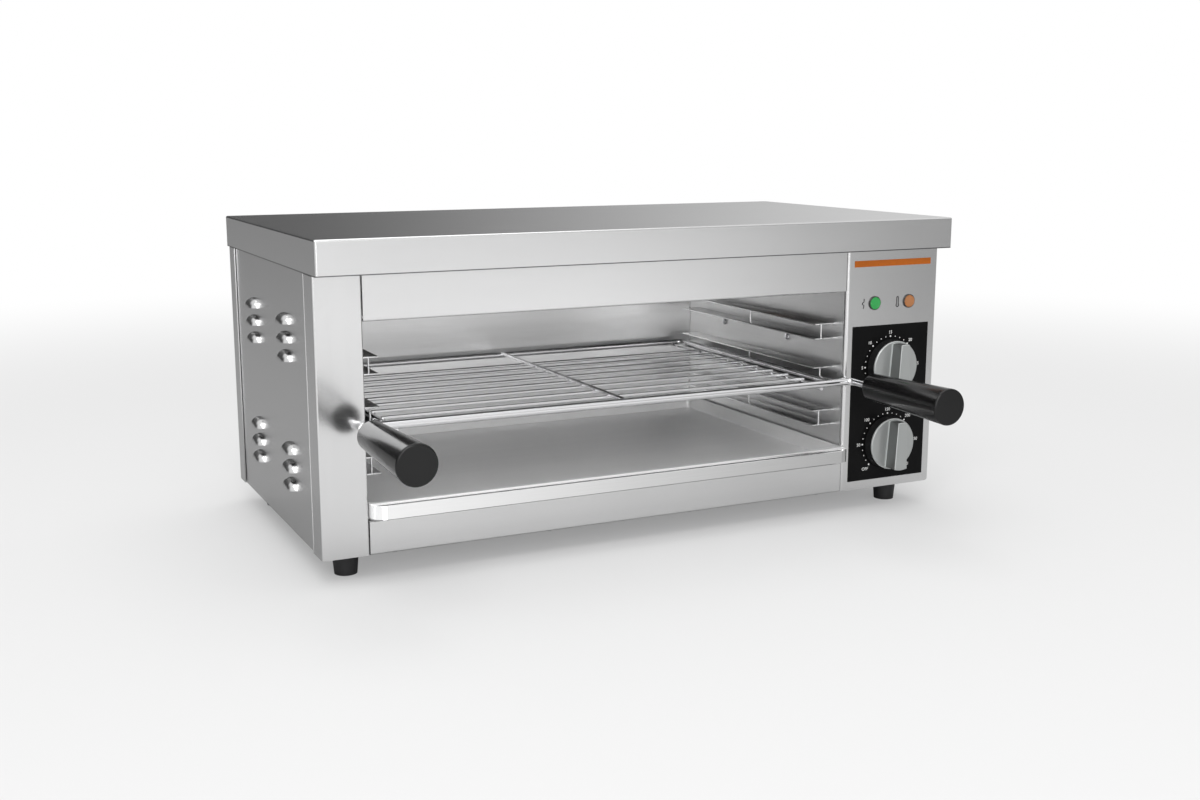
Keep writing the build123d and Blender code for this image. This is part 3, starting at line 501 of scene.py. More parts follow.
class Finish(Enum):
    """Every finish on the toaster, by what it covers."""

    CASING_LONG = SheetFinish("casing_satin_lengthwise", (0.72, 0.72, 0.722), 0.22, Grain.ALONG_X)
    COVER = SheetFinish("cover_satin_lengthwise", (0.72, 0.72, 0.722), 0.22, Grain.ALONG_X,
                        shade_line_of="top_cover")
    CASING_UPRIGHT = SheetFinish("casing_satin_upright", (0.72, 0.72, 0.722), 0.18, Grain.ALONG_Z)
    SIDE = SheetFinish("side_satin_lengthwise", (0.68, 0.68, 0.682), 0.24, Grain.ALONG_Y)
    LINER_LONG = SheetFinish("liner_satin_lengthwise", (0.84, 0.84, 0.84), 0.30, Grain.ALONG_X)
    LINER_SIDE = SheetFinish("liner_satin_sides", (0.80, 0.80, 0.80), 0.30, Grain.ALONG_Y)
    PLATED = SheetFinish("plated_sheet", (0.50, 0.51, 0.53), 0.42, Grain.ALONG_X, spread=0.2, contrast=0.12)
    RUNNER = SheetFinish("runner_satin", (0.74, 0.74, 0.745), 0.26, Grain.ALONG_Y)
    TRAY = SheetFinish("tray_satin", (0.97, 0.97, 0.97), 0.46, Grain.ALONG_X, spread=0.06, lip_shine=0.10,
                       metallic=0.55)
    CHROME = SheetFinish("chromed_wire", (0.80, 0.80, 0.81), 0.08, Grain.ALONG_X, spread=0.05, contrast=0.03,
                         scratch=0.0005 * MM)
    SCREW = SheetFinish("plated_screws", (0.66, 0.66, 0.68), 0.22, Grain.ALONG_X)
    SHEATH = SheetFinish("oxidised_sheath", (0.12, 0.11, 0.105), 0.48, Grain.ALONG_X, spread=0.25,
                         contrast=0.3)
    COPPER = SheetFinish("drawn_copper", (0.72, 0.42, 0.28), 0.25, Grain.ALONG_Y)
    GRIP = MouldedFinish("grip_phenolic", (0.006, 0.006, 0.0062), 0.17, relief=0.004 * MM, spread=0.06,
                         specular=0.35)
    DIAL = MouldedFinish("dial_plate_gloss", (0.005, 0.005, 0.0052), 0.2, relief=0.002 * MM, spread=0.05,
                         specular=0.08)
    DIAL_INK = MouldedFinish("dial_ink_white", (0.86, 0.86, 0.85), 0.45, grain_size=0.2 * MM,
                             relief=0.003 * MM, contrast=0.04)
    PANEL_INK = MouldedFinish("panel_ink_black", (0.012, 0.012, 0.012), 0.4, grain_size=0.2 * MM,
                              relief=0.003 * MM)
    STRIPE = MouldedFinish("stripe_orange", (0.43, 0.105, 0.006), 0.35, grain_size=0.3 * MM,
                           relief=0.003 * MM, contrast=0.05, specular=0.25)
    KNOB_CAP = KnobFinish("knob_silver", (0.43, 0.445, 0.44), 0.3)
    KNOB_SKIRT = MouldedFinish("knob_black", (0.012, 0.012, 0.0125), 0.3, relief=0.004 * MM, specular=0.3)
    LENS_GREEN = LensFinish("lens_green", (0.04, 0.56, 0.12))
    LENS_AMBER = LensFinish("lens_amber", (0.66, 0.27, 0.09))
    LAMP_RING = MouldedFinish("lamp_ring_dark", (0.03, 0.03, 0.03), 0.3, relief=0.002 * MM)
    RUBBER = MouldedFinish("foot_rubber", (0.016, 0.016, 0.017), 0.55, relief=0.03 * MM)
    MOULDED = MouldedFinish("moulded_black", (0.03, 0.03, 0.032), 0.45)
    CERAMIC = MouldedFinish("bush_ceramic", (0.82, 0.79, 0.72), 0.3)
    TERMINAL = MouldedFinish("terminal_white", (0.80, 0.80, 0.77), 0.4)
    BOARD = MouldedFinish("insulation_board", (0.74, 0.72, 0.66), 0.85, grain_size=2.0 * MM, relief=0.4 * MM)


NODE_FINISH = {
    "top_cover": Finish.COVER,
    "front_left_post": Finish.CASING_UPRIGHT,
    "control_panel": Finish.CASING_UPRIGHT,
    "upper_fascia": Finish.CASING_LONG,
    "lower_fascia": Finish.CASING_LONG,
    "left_side_panel": Finish.SIDE,
    "right_side_panel": Finish.SIDE,
    "rear_panel": Finish.CASING_LONG,
    "liner_left": Finish.LINER_SIDE,
    "liner_right": Finish.LINER_SIDE,
    "liner_rear": Finish.LINER_LONG,
    "ceiling_reflector": Finish.LINER_LONG,
    "crumb_tray": Finish.TRAY,
    "dial_plate": Finish.DIAL,
    "trim_stripe": Finish.STRIPE,
    "lamp_lens_green": Finish.LENS_GREEN,
    "lamp_lens_amber": Finish.LENS_AMBER,
    "timer_shaft": Finish.SCREW,
    "thermostat_shaft": Finish.SCREW,
}
SLOT_FINISH = {
    "plated_steel": Finish.PLATED,
    "runner_steel": Finish.RUNNER,
    "screw_steel": Finish.SCREW,
    "foot_rubber": Finish.RUBBER,
    "insulation_board": Finish.BOARD,
    "element_sheath": Finish.SHEATH,
    "bush_ceramic": Finish.CERAMIC,
    "grid_wire": Finish.CHROME,
    "grip_plastic": Finish.GRIP,
    "moulded_black": Finish.MOULDED,
    "knob_silver": Finish.KNOB_CAP,
    "knob_black": Finish.KNOB_SKIRT,
    "capillary_copper": Finish.COPPER,
    "terminal_white": Finish.TERMINAL,
}


def linked(name: str, data: bpy.types.ID) -> bpy.types.Object:
    """Put an object in the scene.

    Args:
        name: The object's name.
        data: Its mesh, curve, light or camera.

    Returns:
        The object.
    """
    made = bpy.data.objects.new(name, data)
    bpy.context.scene.collection.objects.link(made)
    return made


def meshed(name: str, work: BMesh, outward: bool = True) -> Mesh:
    """Turn a worked mesh into a plain one.

    Args:
        name: Name of the result.
        work: The worked mesh, which is freed.
        outward: Whether its faces are turned to look outward.

    Returns:
        The plain mesh.
    """
    if outward:
        bmesh.ops.recalc_face_normals(work, faces=work.faces)
    mesh = bpy.data.meshes.new(name)
    work.to_mesh(mesh)
    work.free()
    return mesh


def joined(name: str, parts: list[Mesh]) -> Mesh:
    """Put several meshes into one.

    Args:
        name: Name of the result.
        parts: The meshes, each in place.

    Returns:
        One mesh.
    """
    work = bmesh.new()
    for part in parts:
        work.from_mesh(part)
    return meshed(name, work, outward=False)


def only(kind: type, items: list[object]) -> list[object]:
    """Pick the points or edges out of what a mesh operation made."""
    return [item for item in items if isinstance(item, kind)]


def bridged(work: BMesh, one: list[BMVert], two: list[BMVert], closed: bool = False) -> None:
    """Fill the band between two rows of points with four-sided faces.

    Args:
        work: The mesh that takes them.
        one: The first row.
        two: The second row, as long as the first.
        closed: Whether the rows are rings.
    """
    for k in range(len(one) if closed else len(one) - 1):
        after = (k + 1) % len(one)
        work.faces.new((one[k], one[after], two[after], two[k]))


def skirted(work: BMesh, steps: tuple[tuple[float, float], ...]) -> None:
    """Pull the open edge of a round face through some rings and close it.

    Args:
        work: A round face centred on z that looks up.
        steps: Radius and height of each ring.
    """
    edge = [e for e in work.edges if len(e.link_faces) == 1]
    for radius, height in steps:
        made = bmesh.ops.extrude_edge_only(work, edges=edge)["geom"]
        edge = only(bmesh.types.BMEdge, made)
        for vertex in only(BMVert, made):
            share = radius / math.hypot(vertex.co.x, vertex.co.y)
            vertex.co = (vertex.co.x * share, vertex.co.y * share, height)
    bmesh.ops.edgeloop_fill(work, edges=edge)


def slab(work: BMesh, low: Vector, high: Vector, edge: float) -> None:
    """Add a block with softened edges.

    Args:
        work: The mesh that takes it.
        low: Its lowest corner.
        high: Its highest corner.
        edge: Width of its bevels.
    """
    made = bmesh.ops.create_cube(work, size=1.0)["verts"]
    middle = (low + high) / 2
    for vertex in made:
        vertex.co = Vector(middle[i] + vertex.co[i] * (high[i] - low[i]) for i in range(3))
    edges = list({e for v in made for e in v.link_edges})
    bmesh.ops.bevel(work, geom=edges, offset=edge, segments=2, affect="EDGES", profile=0.5)


def facing_front(seat: Vector) -> Matrix:
    """Turn a mesh that looks up so that it looks to the front from a seat."""
    return Matrix.Translation(seat) @ Matrix.Rotation(math.pi / 2, 4, "X")


def islands(node: str) -> list[tuple[Vector, Vector]]:
    """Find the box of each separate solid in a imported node.

    Args:
        node: The node's name.

    Returns:
        Lowest and highest corner of each solid, sorted by place.
    """
    work = bmesh.new()
    work.from_mesh(frame["nodes"][node].data)
    bmesh.ops.remove_doubles(work, verts=work.verts, dist=SAME_POINT)
    left = set(work.verts)
    boxes = []
    while left:
        front = [left.pop()]
        group = []
        while front:
            vertex = front.pop()
            group.append(vertex.co.copy())
            found = {edge.other_vert(vertex) for edge in vertex.link_edges} & left
            left -= found
            front += found
        boxes.append(tuple(Vector(end(p[i] for p in group) for i in range(3)) for end in (min, max)))
    work.free()
    return sorted(boxes, key=lambda box: tuple(round(c, 4) for c in box[0]))


@dataclass
class Stance:
    """Where one repeated piece stands and how it is turned from facing up."""

    place: Vector
    turn: tuple[float, float, float] = (0.0, 0.0, 0.0)


class Workshop:
    """Makes finishes once and turns meshes into pieces that ride on their bodies."""

    def __init__(self) -> None:
        """Build the shared groups and every finish."""
        effects = Effects()
        self.finishes = {finish: finish.value.make(effects) for finish in Finish}
        self.slots = {part["node"]: part["material_slot"] for part in frame["record"]["subparts"]}
        self.scatter_tree = self._scatter_tree()

    def cover(self, mesh: Mesh, finish: Finish) -> None:
        """Give a whole mesh one finish."""
        mesh.materials.clear()
        mesh.materials.append(self.finishes[finish])

    def dress(self, node: str) -> None:
        """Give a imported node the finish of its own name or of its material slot."""
        self.cover(frame["nodes"][node].data, NODE_FINISH.get(node) or SLOT_FINISH[self.slots[node]])

    def piece(self, name: str, mesh: Mesh, slot: str, finish: Finish | None = None, body: Body = Body.HOUSING,
              smooth_angle: float | None = 35.0) -> bpy.types.Object:
        """Make a piece from a finished mesh.

        Args:
            name: The piece's name.
            mesh: Its mesh, in place.
            slot: The record's material slot, which is not used.
            finish: Its finish, if the mesh has none yet.
            body: The body that it rides on.
            smooth_angle: Edges sharper than this many degrees stay sharp. None keeps flat faces.

        Returns:
            The piece.
        """
        made = linked(name, mesh)
        if finish is not None:
            self.cover(mesh, finish)
        if smooth_angle is not None:
            mesh.shade_smooth()
            mesh.set_sharp_from_angle(angle=math.radians(smooth_angle))
        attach(made, body.value)
        LOG.info("%s: %d faces on %s", name, len(mesh.polygons), body.value)
        return made

    def replacement(self, name: str, mesh: Mesh, node: str, finish: Finish | None = None,
                    smooth_angle: float = 35.0) -> None:
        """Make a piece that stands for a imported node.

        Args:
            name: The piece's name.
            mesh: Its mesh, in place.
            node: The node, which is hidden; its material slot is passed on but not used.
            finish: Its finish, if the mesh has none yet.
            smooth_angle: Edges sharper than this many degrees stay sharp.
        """
        made = self.piece(name, mesh, self.slots[node], finish, smooth_angle=smooth_angle)
        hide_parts(node)

    @staticmethod
    def settle(worker: bpy.types.Object) -> Mesh:
        """Turn a curve or an object with live modifiers into a plain mesh and remove the object.

        Args:
            worker: The object.

        Returns:
            The evaluated mesh.
        """
        bpy.context.view_layer.update()
        graph = bpy.context.evaluated_depsgraph_get()
        mesh = bpy.data.meshes.new_from_object(worker.evaluated_get(graph))
        worker.modifiers.clear()
        bpy.data.objects.remove(worker)
        return mesh

    def run_tree(self, name: str, tree: Tree, start: Mesh, inputs: dict[str, object]) -> Mesh:
        """Run a geometry tree on a mesh.

        Args:
            name: Name of the result.
            tree: The geometry tree.
            start: The mesh that it starts from.
            inputs: Values by input name.

        Returns:
            The plain mesh that it makes.
        """
        worker = linked(name, start)
        modifier = worker.modifiers.new(name, "NODES")
        modifier.node_group = tree
        for item in tree.interface.items_tree:
            if item.item_type == "SOCKET" and item.in_out == "INPUT" and item.name in inputs:
                modifier[item.identifier] = inputs[item.name]
        return self.settle(worker)

    @staticmethod
    def closed_tree(graph: Graph, instances: Socket, finish: Socket) -> Tree:
        """End a geometry tree with real meshes in their finish.

        Args:
            graph: The tree.
            instances: What it makes.
            finish: The finish's socket.

        Returns:
            The finished tree.
        """
        real = graph.node("GeometryNodeRealizeInstances", {"Geometry": instances}).outputs["Geometry"]
        paint = graph.node("GeometryNodeSetMaterial", {"Geometry": real, "Material": finish})
        graph.node("NodeGroupOutput", {"Mesh": paint.outputs["Geometry"]})
        return graph.tree

    def _scatter_tree(self) -> Tree:
        """Put one part on every point, turned by the point's own angles.

        Returns:
            The geometry tree.
        """
        graph = opened_group("scatter_part", "Geometry", {
            "Points": "Geometry", "Part": "Object", "Finish": "Material"}, {"Mesh": "Geometry"})
        given = graph.node("NodeGroupInput").outputs
        part = graph.node("GeometryNodeObjectInfo", {"Object": given["Part"]}, transform_space="ORIGINAL")
        turn = graph.node("GeometryNodeInputNamedAttribute", {"Name": "turn"}, data_type="FLOAT_VECTOR")
        rotation = graph.node("FunctionNodeEulerToRotation", {0: turn.outputs["Attribute"]})
        spots = graph.node("GeometryNodeInstanceOnPoints", {
            "Points": given["Points"],
            "Instance": part.outputs["Geometry"],
            "Rotation": rotation.outputs[0],
        })
        return self.closed_tree(graph, spots.outputs["Instances"], given["Finish"])

    def scatter(self, name: str, part: Mesh, stances: list[Stance], finish: Finish) -> Mesh:
        """Repeat a part at each stance.

        Args:
            name: Name of the result.
            part: The part's mesh, facing up with its seat at the origin.
            stances: Where each copy stands.
            finish: The finish of all copies.

        Returns:
            One plain mesh with every copy.
        """
        points = bpy.data.meshes.new(f"{name}_points")
        points.from_pydata([stance.place for stance in stances], [], [])
        turns = points.attributes.new("turn", "FLOAT_VECTOR", "POINT")
        for item, stance in zip(turns.data, stances):
            item.vector = stance.turn
        holder = linked(f"{name}_part", part)
        mesh = self.run_tree(name, self.scatter_tree, points, {
            "Part": holder, "Finish": self.finishes[finish]})
        bpy.data.objects.remove(holder)
        return mesh


@dataclass
class SubAssembly:
    """A part of the toaster that the workshop makes."""

    workshop: Workshop


@dataclass
class LouvredPanel(SubAssembly):
    """Side panel with its pressed louvres, open underneath."""

    node: str
    sheet: float = 0.8 * MM
    length: float = 29.0 * MM
    reach: float = 7.8 * MM
    pitch: float = 15.6 * MM
    per_group: int = 3
    front_column: float = 92.5 * MM
    rear_column: float = 96.1 * MM
    upper_group: float = 42.7 * MM
    lower_group: float = 74.5 * MM
    sunk: float = 0.2 * MM
    weld: float = 0.001 * MM
    turn_step: int = 10
    end_step: int = 15

    def places(self) -> tuple[list[float], list[float]]:
        """Find the louvres' columns in y and their lower edges in z.

        Returns:
            The columns and the rows.
        """
        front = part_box("front_left_post")[0].y
        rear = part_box("rear_panel")[1].y
        low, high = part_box(self.node)
        steps = [self.reach / 2 + n * self.pitch for n in range(self.per_group)]
        groups = (high.z - self.upper_group, low.z + self.lower_group)
        rows = [group - step for group in groups for step in steps]
        return [front + self.front_column, rear - self.rear_column], sorted(rows)

    def row(self, work: BMesh, length: float, reach: float, angle: float) -> list[BMVert]:
        """Add the points of a louvre along one line.

        Args:
            work: The louvre's mesh.
            length: Length of the louvre.
            reach: Radius of its section and its ends.
            angle: How far the line is turned up from -x.

        Returns:
            The points in order.
        """
        straight = length / 2 - reach
        ends = [math.radians(a) for a in range(0, 91, self.end_step)]
        stations = [(-straight - reach * math.cos(a), reach * math.sin(a)) for a in ends]
        stations += [(-y, r) for y, r in reversed(stations)]
        return [work.verts.new((-r * math.cos(angle), y, r * math.sin(angle))) for y, r in stations]

    def hood(self) -> Mesh:
        """Make one louvre that swells towards -x, its lower edge through the origin.

        Returns:
            The louvre's mesh.
        """
        work = bmesh.new()
        turns = [math.radians(a) for a in range(0, 91, self.turn_step)]
        outer, inner = ([self.row(work, self.length - 2 * gap, self.reach - gap, angle) for angle in turns]
                        for gap in (0.0, self.sheet))
        for vertex in outer[-1] + inner[-1]:
            vertex.co.x += self.sunk
        for shell in (outer, inner):
            for one, two in zip(shell, shell[1:]):
                bridged(work, one, two)
        for end in (0, -1):
            bridged(work, outer[end], inner[end])
        bmesh.ops.remove_doubles(work, verts=work.verts, dist=self.weld)
        bmesh.ops.holes_fill(work, edges=work.edges, sides=4)
        return meshed(f"{self.node}_louvre", work)

    def plate(self, face: float) -> Mesh:
        """Make the flat sheet with a slot behind each louvre.

        Args:
            face: Place of its outer face, in x.

        Returns:
            The sheet's mesh.
        """
        low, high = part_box(self.node)
        columns, rows = self.places()
        half = self.length / 2 - self.reach
        slot = self.reach - self.sheet
        across = [low.y, *(y + way * half for y in columns for way in (-1, 1)), high.y]
        upward = [low.z, *(z + rise for z in rows for rise in (0.0, slot)), high.z]
        work = bmesh.new()
        spots = [[work.verts.new((face, y, z)) for z in upward] for y in across]
        kept = [work.faces.new((spots[i][j], spots[i + 1][j], spots[i + 1][j + 1], spots[i][j + 1]))
                for i in range(len(across) - 1) for j in range(len(upward) - 1) if i % 2 == 0 or j % 2 == 0]
        copy = bmesh.ops.extrude_face_region(work, geom=kept, use_keep_orig=True)["geom"]
        inward = math.copysign(self.sheet, -face)
        bmesh.ops.translate(work, vec=(inward, 0, 0), verts=only(BMVert, copy))
        return meshed(f"{self.node}_plate", work)

    def build(self) -> None:
        """Make the panel in place of the plain one."""
        low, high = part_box(self.node)
        left = low.x < 0
        face = high.x - self.sheet if left else low.x + self.sheet
        columns, rows = self.places()
        turn = (0.0, 0.0, 0.0 if left else math.pi)
        stances = [Stance(Vector((face, y, z)), turn) for y in columns for z in rows]
        finish = NODE_FINISH[self.node]
        hoods = self.workshop.scatter(f"{self.node}_louvres", self.hood(), stances, finish)
        name = f"{self.node}_pressed"
        self.workshop.replacement(name, joined(name, [self.plate(face), hoods]), self.node, finish, 40.0)


@dataclass
class StripRunner(SubAssembly):
    """Two strips on a chamber wall, joined by three guide pins."""

    node: str
    sheet: float = 1.2 * MM
    edge: float = 0.25 * MM
    pin_radius: float = 0.9 * MM
    pins: int = 3
    frame_gap: float = 0.3 * MM

    def pin(self, height: float) -> Mesh:
        """Make one guide pin.

        Args:
            height: Its height from the origin.

        Returns:
            The pin's mesh.
        """
        work = bmesh.new()
        bmesh.ops.create_cone(work, cap_ends=True, segments=20, depth=height, radius1=self.pin_radius,
                              radius2=self.pin_radius, matrix=Matrix.Translation((0, 0, height / 2)))
        return meshed(f"{self.node}_pin", work)

    def build(self) -> None:
        """Make the runner in place of the plain one."""
        low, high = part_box(self.node)
        rod_low, rod_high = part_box("grid_frame")
        aside = self.frame_gap + self.pin_radius
        x = rod_low.x - aside if low.x < 0 else rod_high.x + aside
        work = bmesh.new()
        slab(work, low, Vector((high.x, high.y, low.z + self.sheet)), self.edge)
        slab(work, Vector((low.x, low.y, high.z - self.sheet)), high, self.edge)
        strips = meshed(f"{self.node}_strips", work)
        first = low.y + 2 * self.pin_radius
        last = high.y - 2 * self.pin_radius
        stances = [Stance(Vector((x, first + n / (self.pins - 1) * (last - first), low.z + self.sheet / 2)))
                   for n in range(self.pins)]
        pin = self.pin(high.z - low.z - self.sheet)
        pins = self.workshop.scatter(f"{self.node}_pins", pin, stances, Finish.RUNNER)
        name = f"{self.node}_strip"
        self.workshop.replacement(name, joined(name, [strips, pins]), self.node, Finish.RUNNER)


@dataclass
class SeamBeads(SubAssembly):
    """Thin raised beads where the front's sheets end on the side panels."""

    wrap: float = 25.5 * MM
    radius: float = 0.55 * MM
    sunk: float = 0.05 * MM
    steps: int = 6

    def build(self) -> None:
        """Lay a bead down each side of the casing."""
        low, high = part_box("front_left_post")
        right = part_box("control_panel")[1].x
        for name, x, way in (("seam_bead_left", low.x, -1), ("seam_bead_right", right, 1)):
            turns = [math.pi * n / self.steps for n in range(self.steps + 1)]
            section = [(x + way * (self.radius * math.sin(a) - self.sunk),
                        low.y + self.wrap - self.radius * math.cos(a)) for a in turns]
            work = bmesh.new()
            rows = [[work.verts.new((px, py, z)) for px, py in section] for z in (low.z, high.z)]
            bridged(work, *rows, closed=True)
            for row in rows:
                work.faces.new(row)
            slot = self.workshop.slots["front_left_post"]
            self.workshop.piece(name, meshed(name, work), slot, Finish.CASING_UPRIGHT)


@dataclass
class DialPrint(SubAssembly):
    """White dots and numbers printed round one knob."""

    name: str
    shaft: str
    labels: tuple[str, ...]
    circle: float = 28.2 * MM
    half_sweep: float = math.radians(135)
    steps_per_label: int = 4
    small_dot: float = 0.5 * MM
    large_dot: float = 0.8 * MM
    label_height: float = 3.0 * MM
    height_of_size: float = 0.7
    label_gap: float = 2.4 * MM
    ink: float = 0.04 * MM

    def centre(self) -> Vector:
        """Find the dial's centre on the plate's face.

        Returns:
            The centre.
        """
        low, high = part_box(self.shaft)
        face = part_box("dial_plate")[0].y
        return Vector(((low.x + high.x) / 2, face - self.ink / 2, (low.z + high.z) / 2))

    def tree(self) -> Tree:
        """Set dots on an arc, larger at every label.

        Returns:
            The geometry tree.
        """
        graph = opened_group(f"{self.name}_dots", "Geometry", {
            "Start": "Geometry", "Circle": "Float", "Half Sweep": "Float", "Dots": "Int",
            "Steps Per Label": "Int", "Small Dot": "Float", "Large Dot": "Float", "Ink": "Float",
            "Centre": "Vector", "Finish": "Material",
        }, {"Mesh": "Geometry"})
        given = graph.node("NodeGroupInput").outputs
        arc = graph.node("GeometryNodeCurveArc", {
            "Resolution": given["Dots"],
            "Radius": given["Circle"],
            "Start Angle": graph.maths("SUBTRACT", math.pi / 2, given["Half Sweep"]),
            "Sweep Angle": graph.times(given["Half Sweep"], 2.0),
        })
        index = graph.node("GeometryNodeInputIndex").outputs[0]
        step = graph.maths("MODULO", index, given["Steps Per Label"])
        minor = graph.maths("GREATER_THAN", step, 0.5)
        radius = graph.between(minor, given["Large Dot"], given["Small Dot"])
        size = graph.node("ShaderNodeCombineXYZ", {0: radius, 1: radius, 2: given["Ink"]})
        disc = graph.node("GeometryNodeMeshCylinder", {"Vertices": 20, "Radius": 1.0, "Depth": 1.0})
        spots = graph.node("GeometryNodeInstanceOnPoints", {
            "Points": arc.outputs["Curve"], "Instance": disc.outputs["Mesh"], "Scale": size.outputs[0]})
        stand = graph.node("GeometryNodeTransform", {
            "Geometry": spots.outputs["Instances"],
            "Translation": given["Centre"],
            "Rotation": (math.pi / 2, 0.0, 0.0),
        })
        return self.workshop.closed_tree(graph, stand.outputs["Geometry"], given["Finish"])

    def label(self, text: str, angle: float) -> Mesh:
        """Make one number.

        Args:
            text: The number, or OFF.
            angle: Its place on the dial from the top, clockwise, in radians.

        Returns:
            The number's mesh on the plate.
        """
        curve = bpy.data.curves.new(f"{self.name}_{text}", "FONT")
        curve.body = text
        curve.size = self.label_height / self.height_of_size
        curve.extrude = self.ink / 2
        curve.resolution_u = 3
        mesh = self.workshop.settle(linked(curve.name, curve))
        low, high = (Vector(end(v.co[i] for v in mesh.vertices) for i in range(2)) for end in (min, max))
        half = (high - low) / 2
        middle = (high + low) / 2
        way = Vector((math.sin(angle), math.cos(angle)))
        reach = self.circle + self.label_gap + abs(way.x) * half.x + abs(way.y) * half.y - self.ink
        spot = self.centre() + Vector((way.x * reach, 0, way.y * reach))
        mesh.transform(facing_front(spot) @ Matrix.Translation((-middle.x, -middle.y, 0)))
        return mesh

    def build(self) -> None:
        """Print the dial."""
        steps = len(self.labels) - 1
        start = bpy.data.meshes.new(f"{self.name}_start")
        ring = self.workshop.run_tree(f"{self.name}_dots", self.tree(), start, {
            "Circle": self.circle,
            "Half Sweep": self.half_sweep,
            "Dots": steps * self.steps_per_label + 1,
            "Steps Per Label": self.steps_per_label,
            "Small Dot": self.small_dot,
            "Large Dot": self.large_dot,
            "Ink": self.ink,
            "Centre": self.centre(),
            "Finish": self.workshop.finishes[Finish.DIAL_INK],
        })
        numbers = [self.label(text, (2 * n / steps - 1) * self.half_sweep)
                   for n, text in enumerate(self.labels)]
        mesh = joined(self.name, [ring, *numbers])
        self.workshop.piece(self.name, mesh, "dial_black", Finish.DIAL_INK, smooth_angle=None)


@dataclass
class Pictograms(SubAssembly):
    """Black signs beside the lamps: a mains sign and a thermometer."""

    reach: float = 13.0 * MM
    height: float = 9.4 * MM
    stroke: float = 0.5 * MM
    ink: float = 0.04 * MM
    wave: float = 0.9 * MM
    bulb: float = 1.5 * MM
    tube: float = 0.95 * MM
    fill: float = 0.4 * MM
    bulb_opening: int = 140
    bulb_step: int = 20
    tube_step: int = 30
    bend: float = 0.35
    crossing: float = 0.1

    def stroked(self, name: str, lamp: str, line: list[tuple[float, float]], closed: bool) -> Mesh:
        """Make a thin raised line to the left of a lamp.

        Args:
            name: Name of the result.
            lamp: The lamp's node.
            line: Points of the line, in x and z from the sign's centre.
            closed: Whether the line closes.

        Returns:
            The line's mesh on the panel.
        """
        low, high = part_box(lamp)
        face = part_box("control_panel")[0].y - self.ink / 2
        centre = Vector(((low.x + high.x) / 2 - self.reach, face, (low.z + high.z) / 2))
        curve = bpy.data.curves.new(name, "CURVE")
        curve.dimensions = "3D"
        curve.bevel_depth = self.stroke
        curve.bevel_resolution = 2
        curve.use_fill_caps = True
        spline = curve.splines.new("POLY")
        spline.points.add(len(line) - 1)
        spline.use_cyclic_u = closed
        for point, (x, z) in zip(spline.points, line):
            point.co = (centre.x + x, centre.y, centre.z + z, 1.0)
        mesh = self.workshop.settle(linked(name, curve))
        for vertex in mesh.vertices:
            vertex.co.y = centre.y + (vertex.co.y - centre.y) * self.ink / self.stroke
        return mesh

    def build(self) -> None:
        """Print both signs."""
        half = self.height / 2
        bend, crossing = self.bend * half, self.crossing * half
        wave = [(self.wave, half), (self.wave, bend), (-self.wave, crossing),
                (-self.wave, -crossing), (self.wave, -bend), (self.wave / 3, -half)]
        mains = self.stroked("mains_sign", "lamp_lens_green", wave, False)
        low = -half + self.bulb
        outline = [(self.tube * math.cos(a), half - self.tube + self.tube * math.sin(a))
                   for a in map(math.radians, range(0, 181, self.tube_step))]
        outline += [(-self.bulb * math.sin(a), low - self.bulb * math.cos(a))
                    for a in map(math.radians, range(self.bulb_opening, -self.bulb_opening - 1, -self.bulb_step))]
        heat = joined("heat_sign", [
            self.stroked("heat_sign", "lamp_lens_amber", outline, True),
            self.stroked("heat_sign_fill", "lamp_lens_amber", [(0, low), (0, low + self.fill)], False)])
        for name, mesh in (("mains_sign", mains), ("heat_sign", heat)):
            self.workshop.piece(name, mesh, "dial_black", Finish.PANEL_INK)


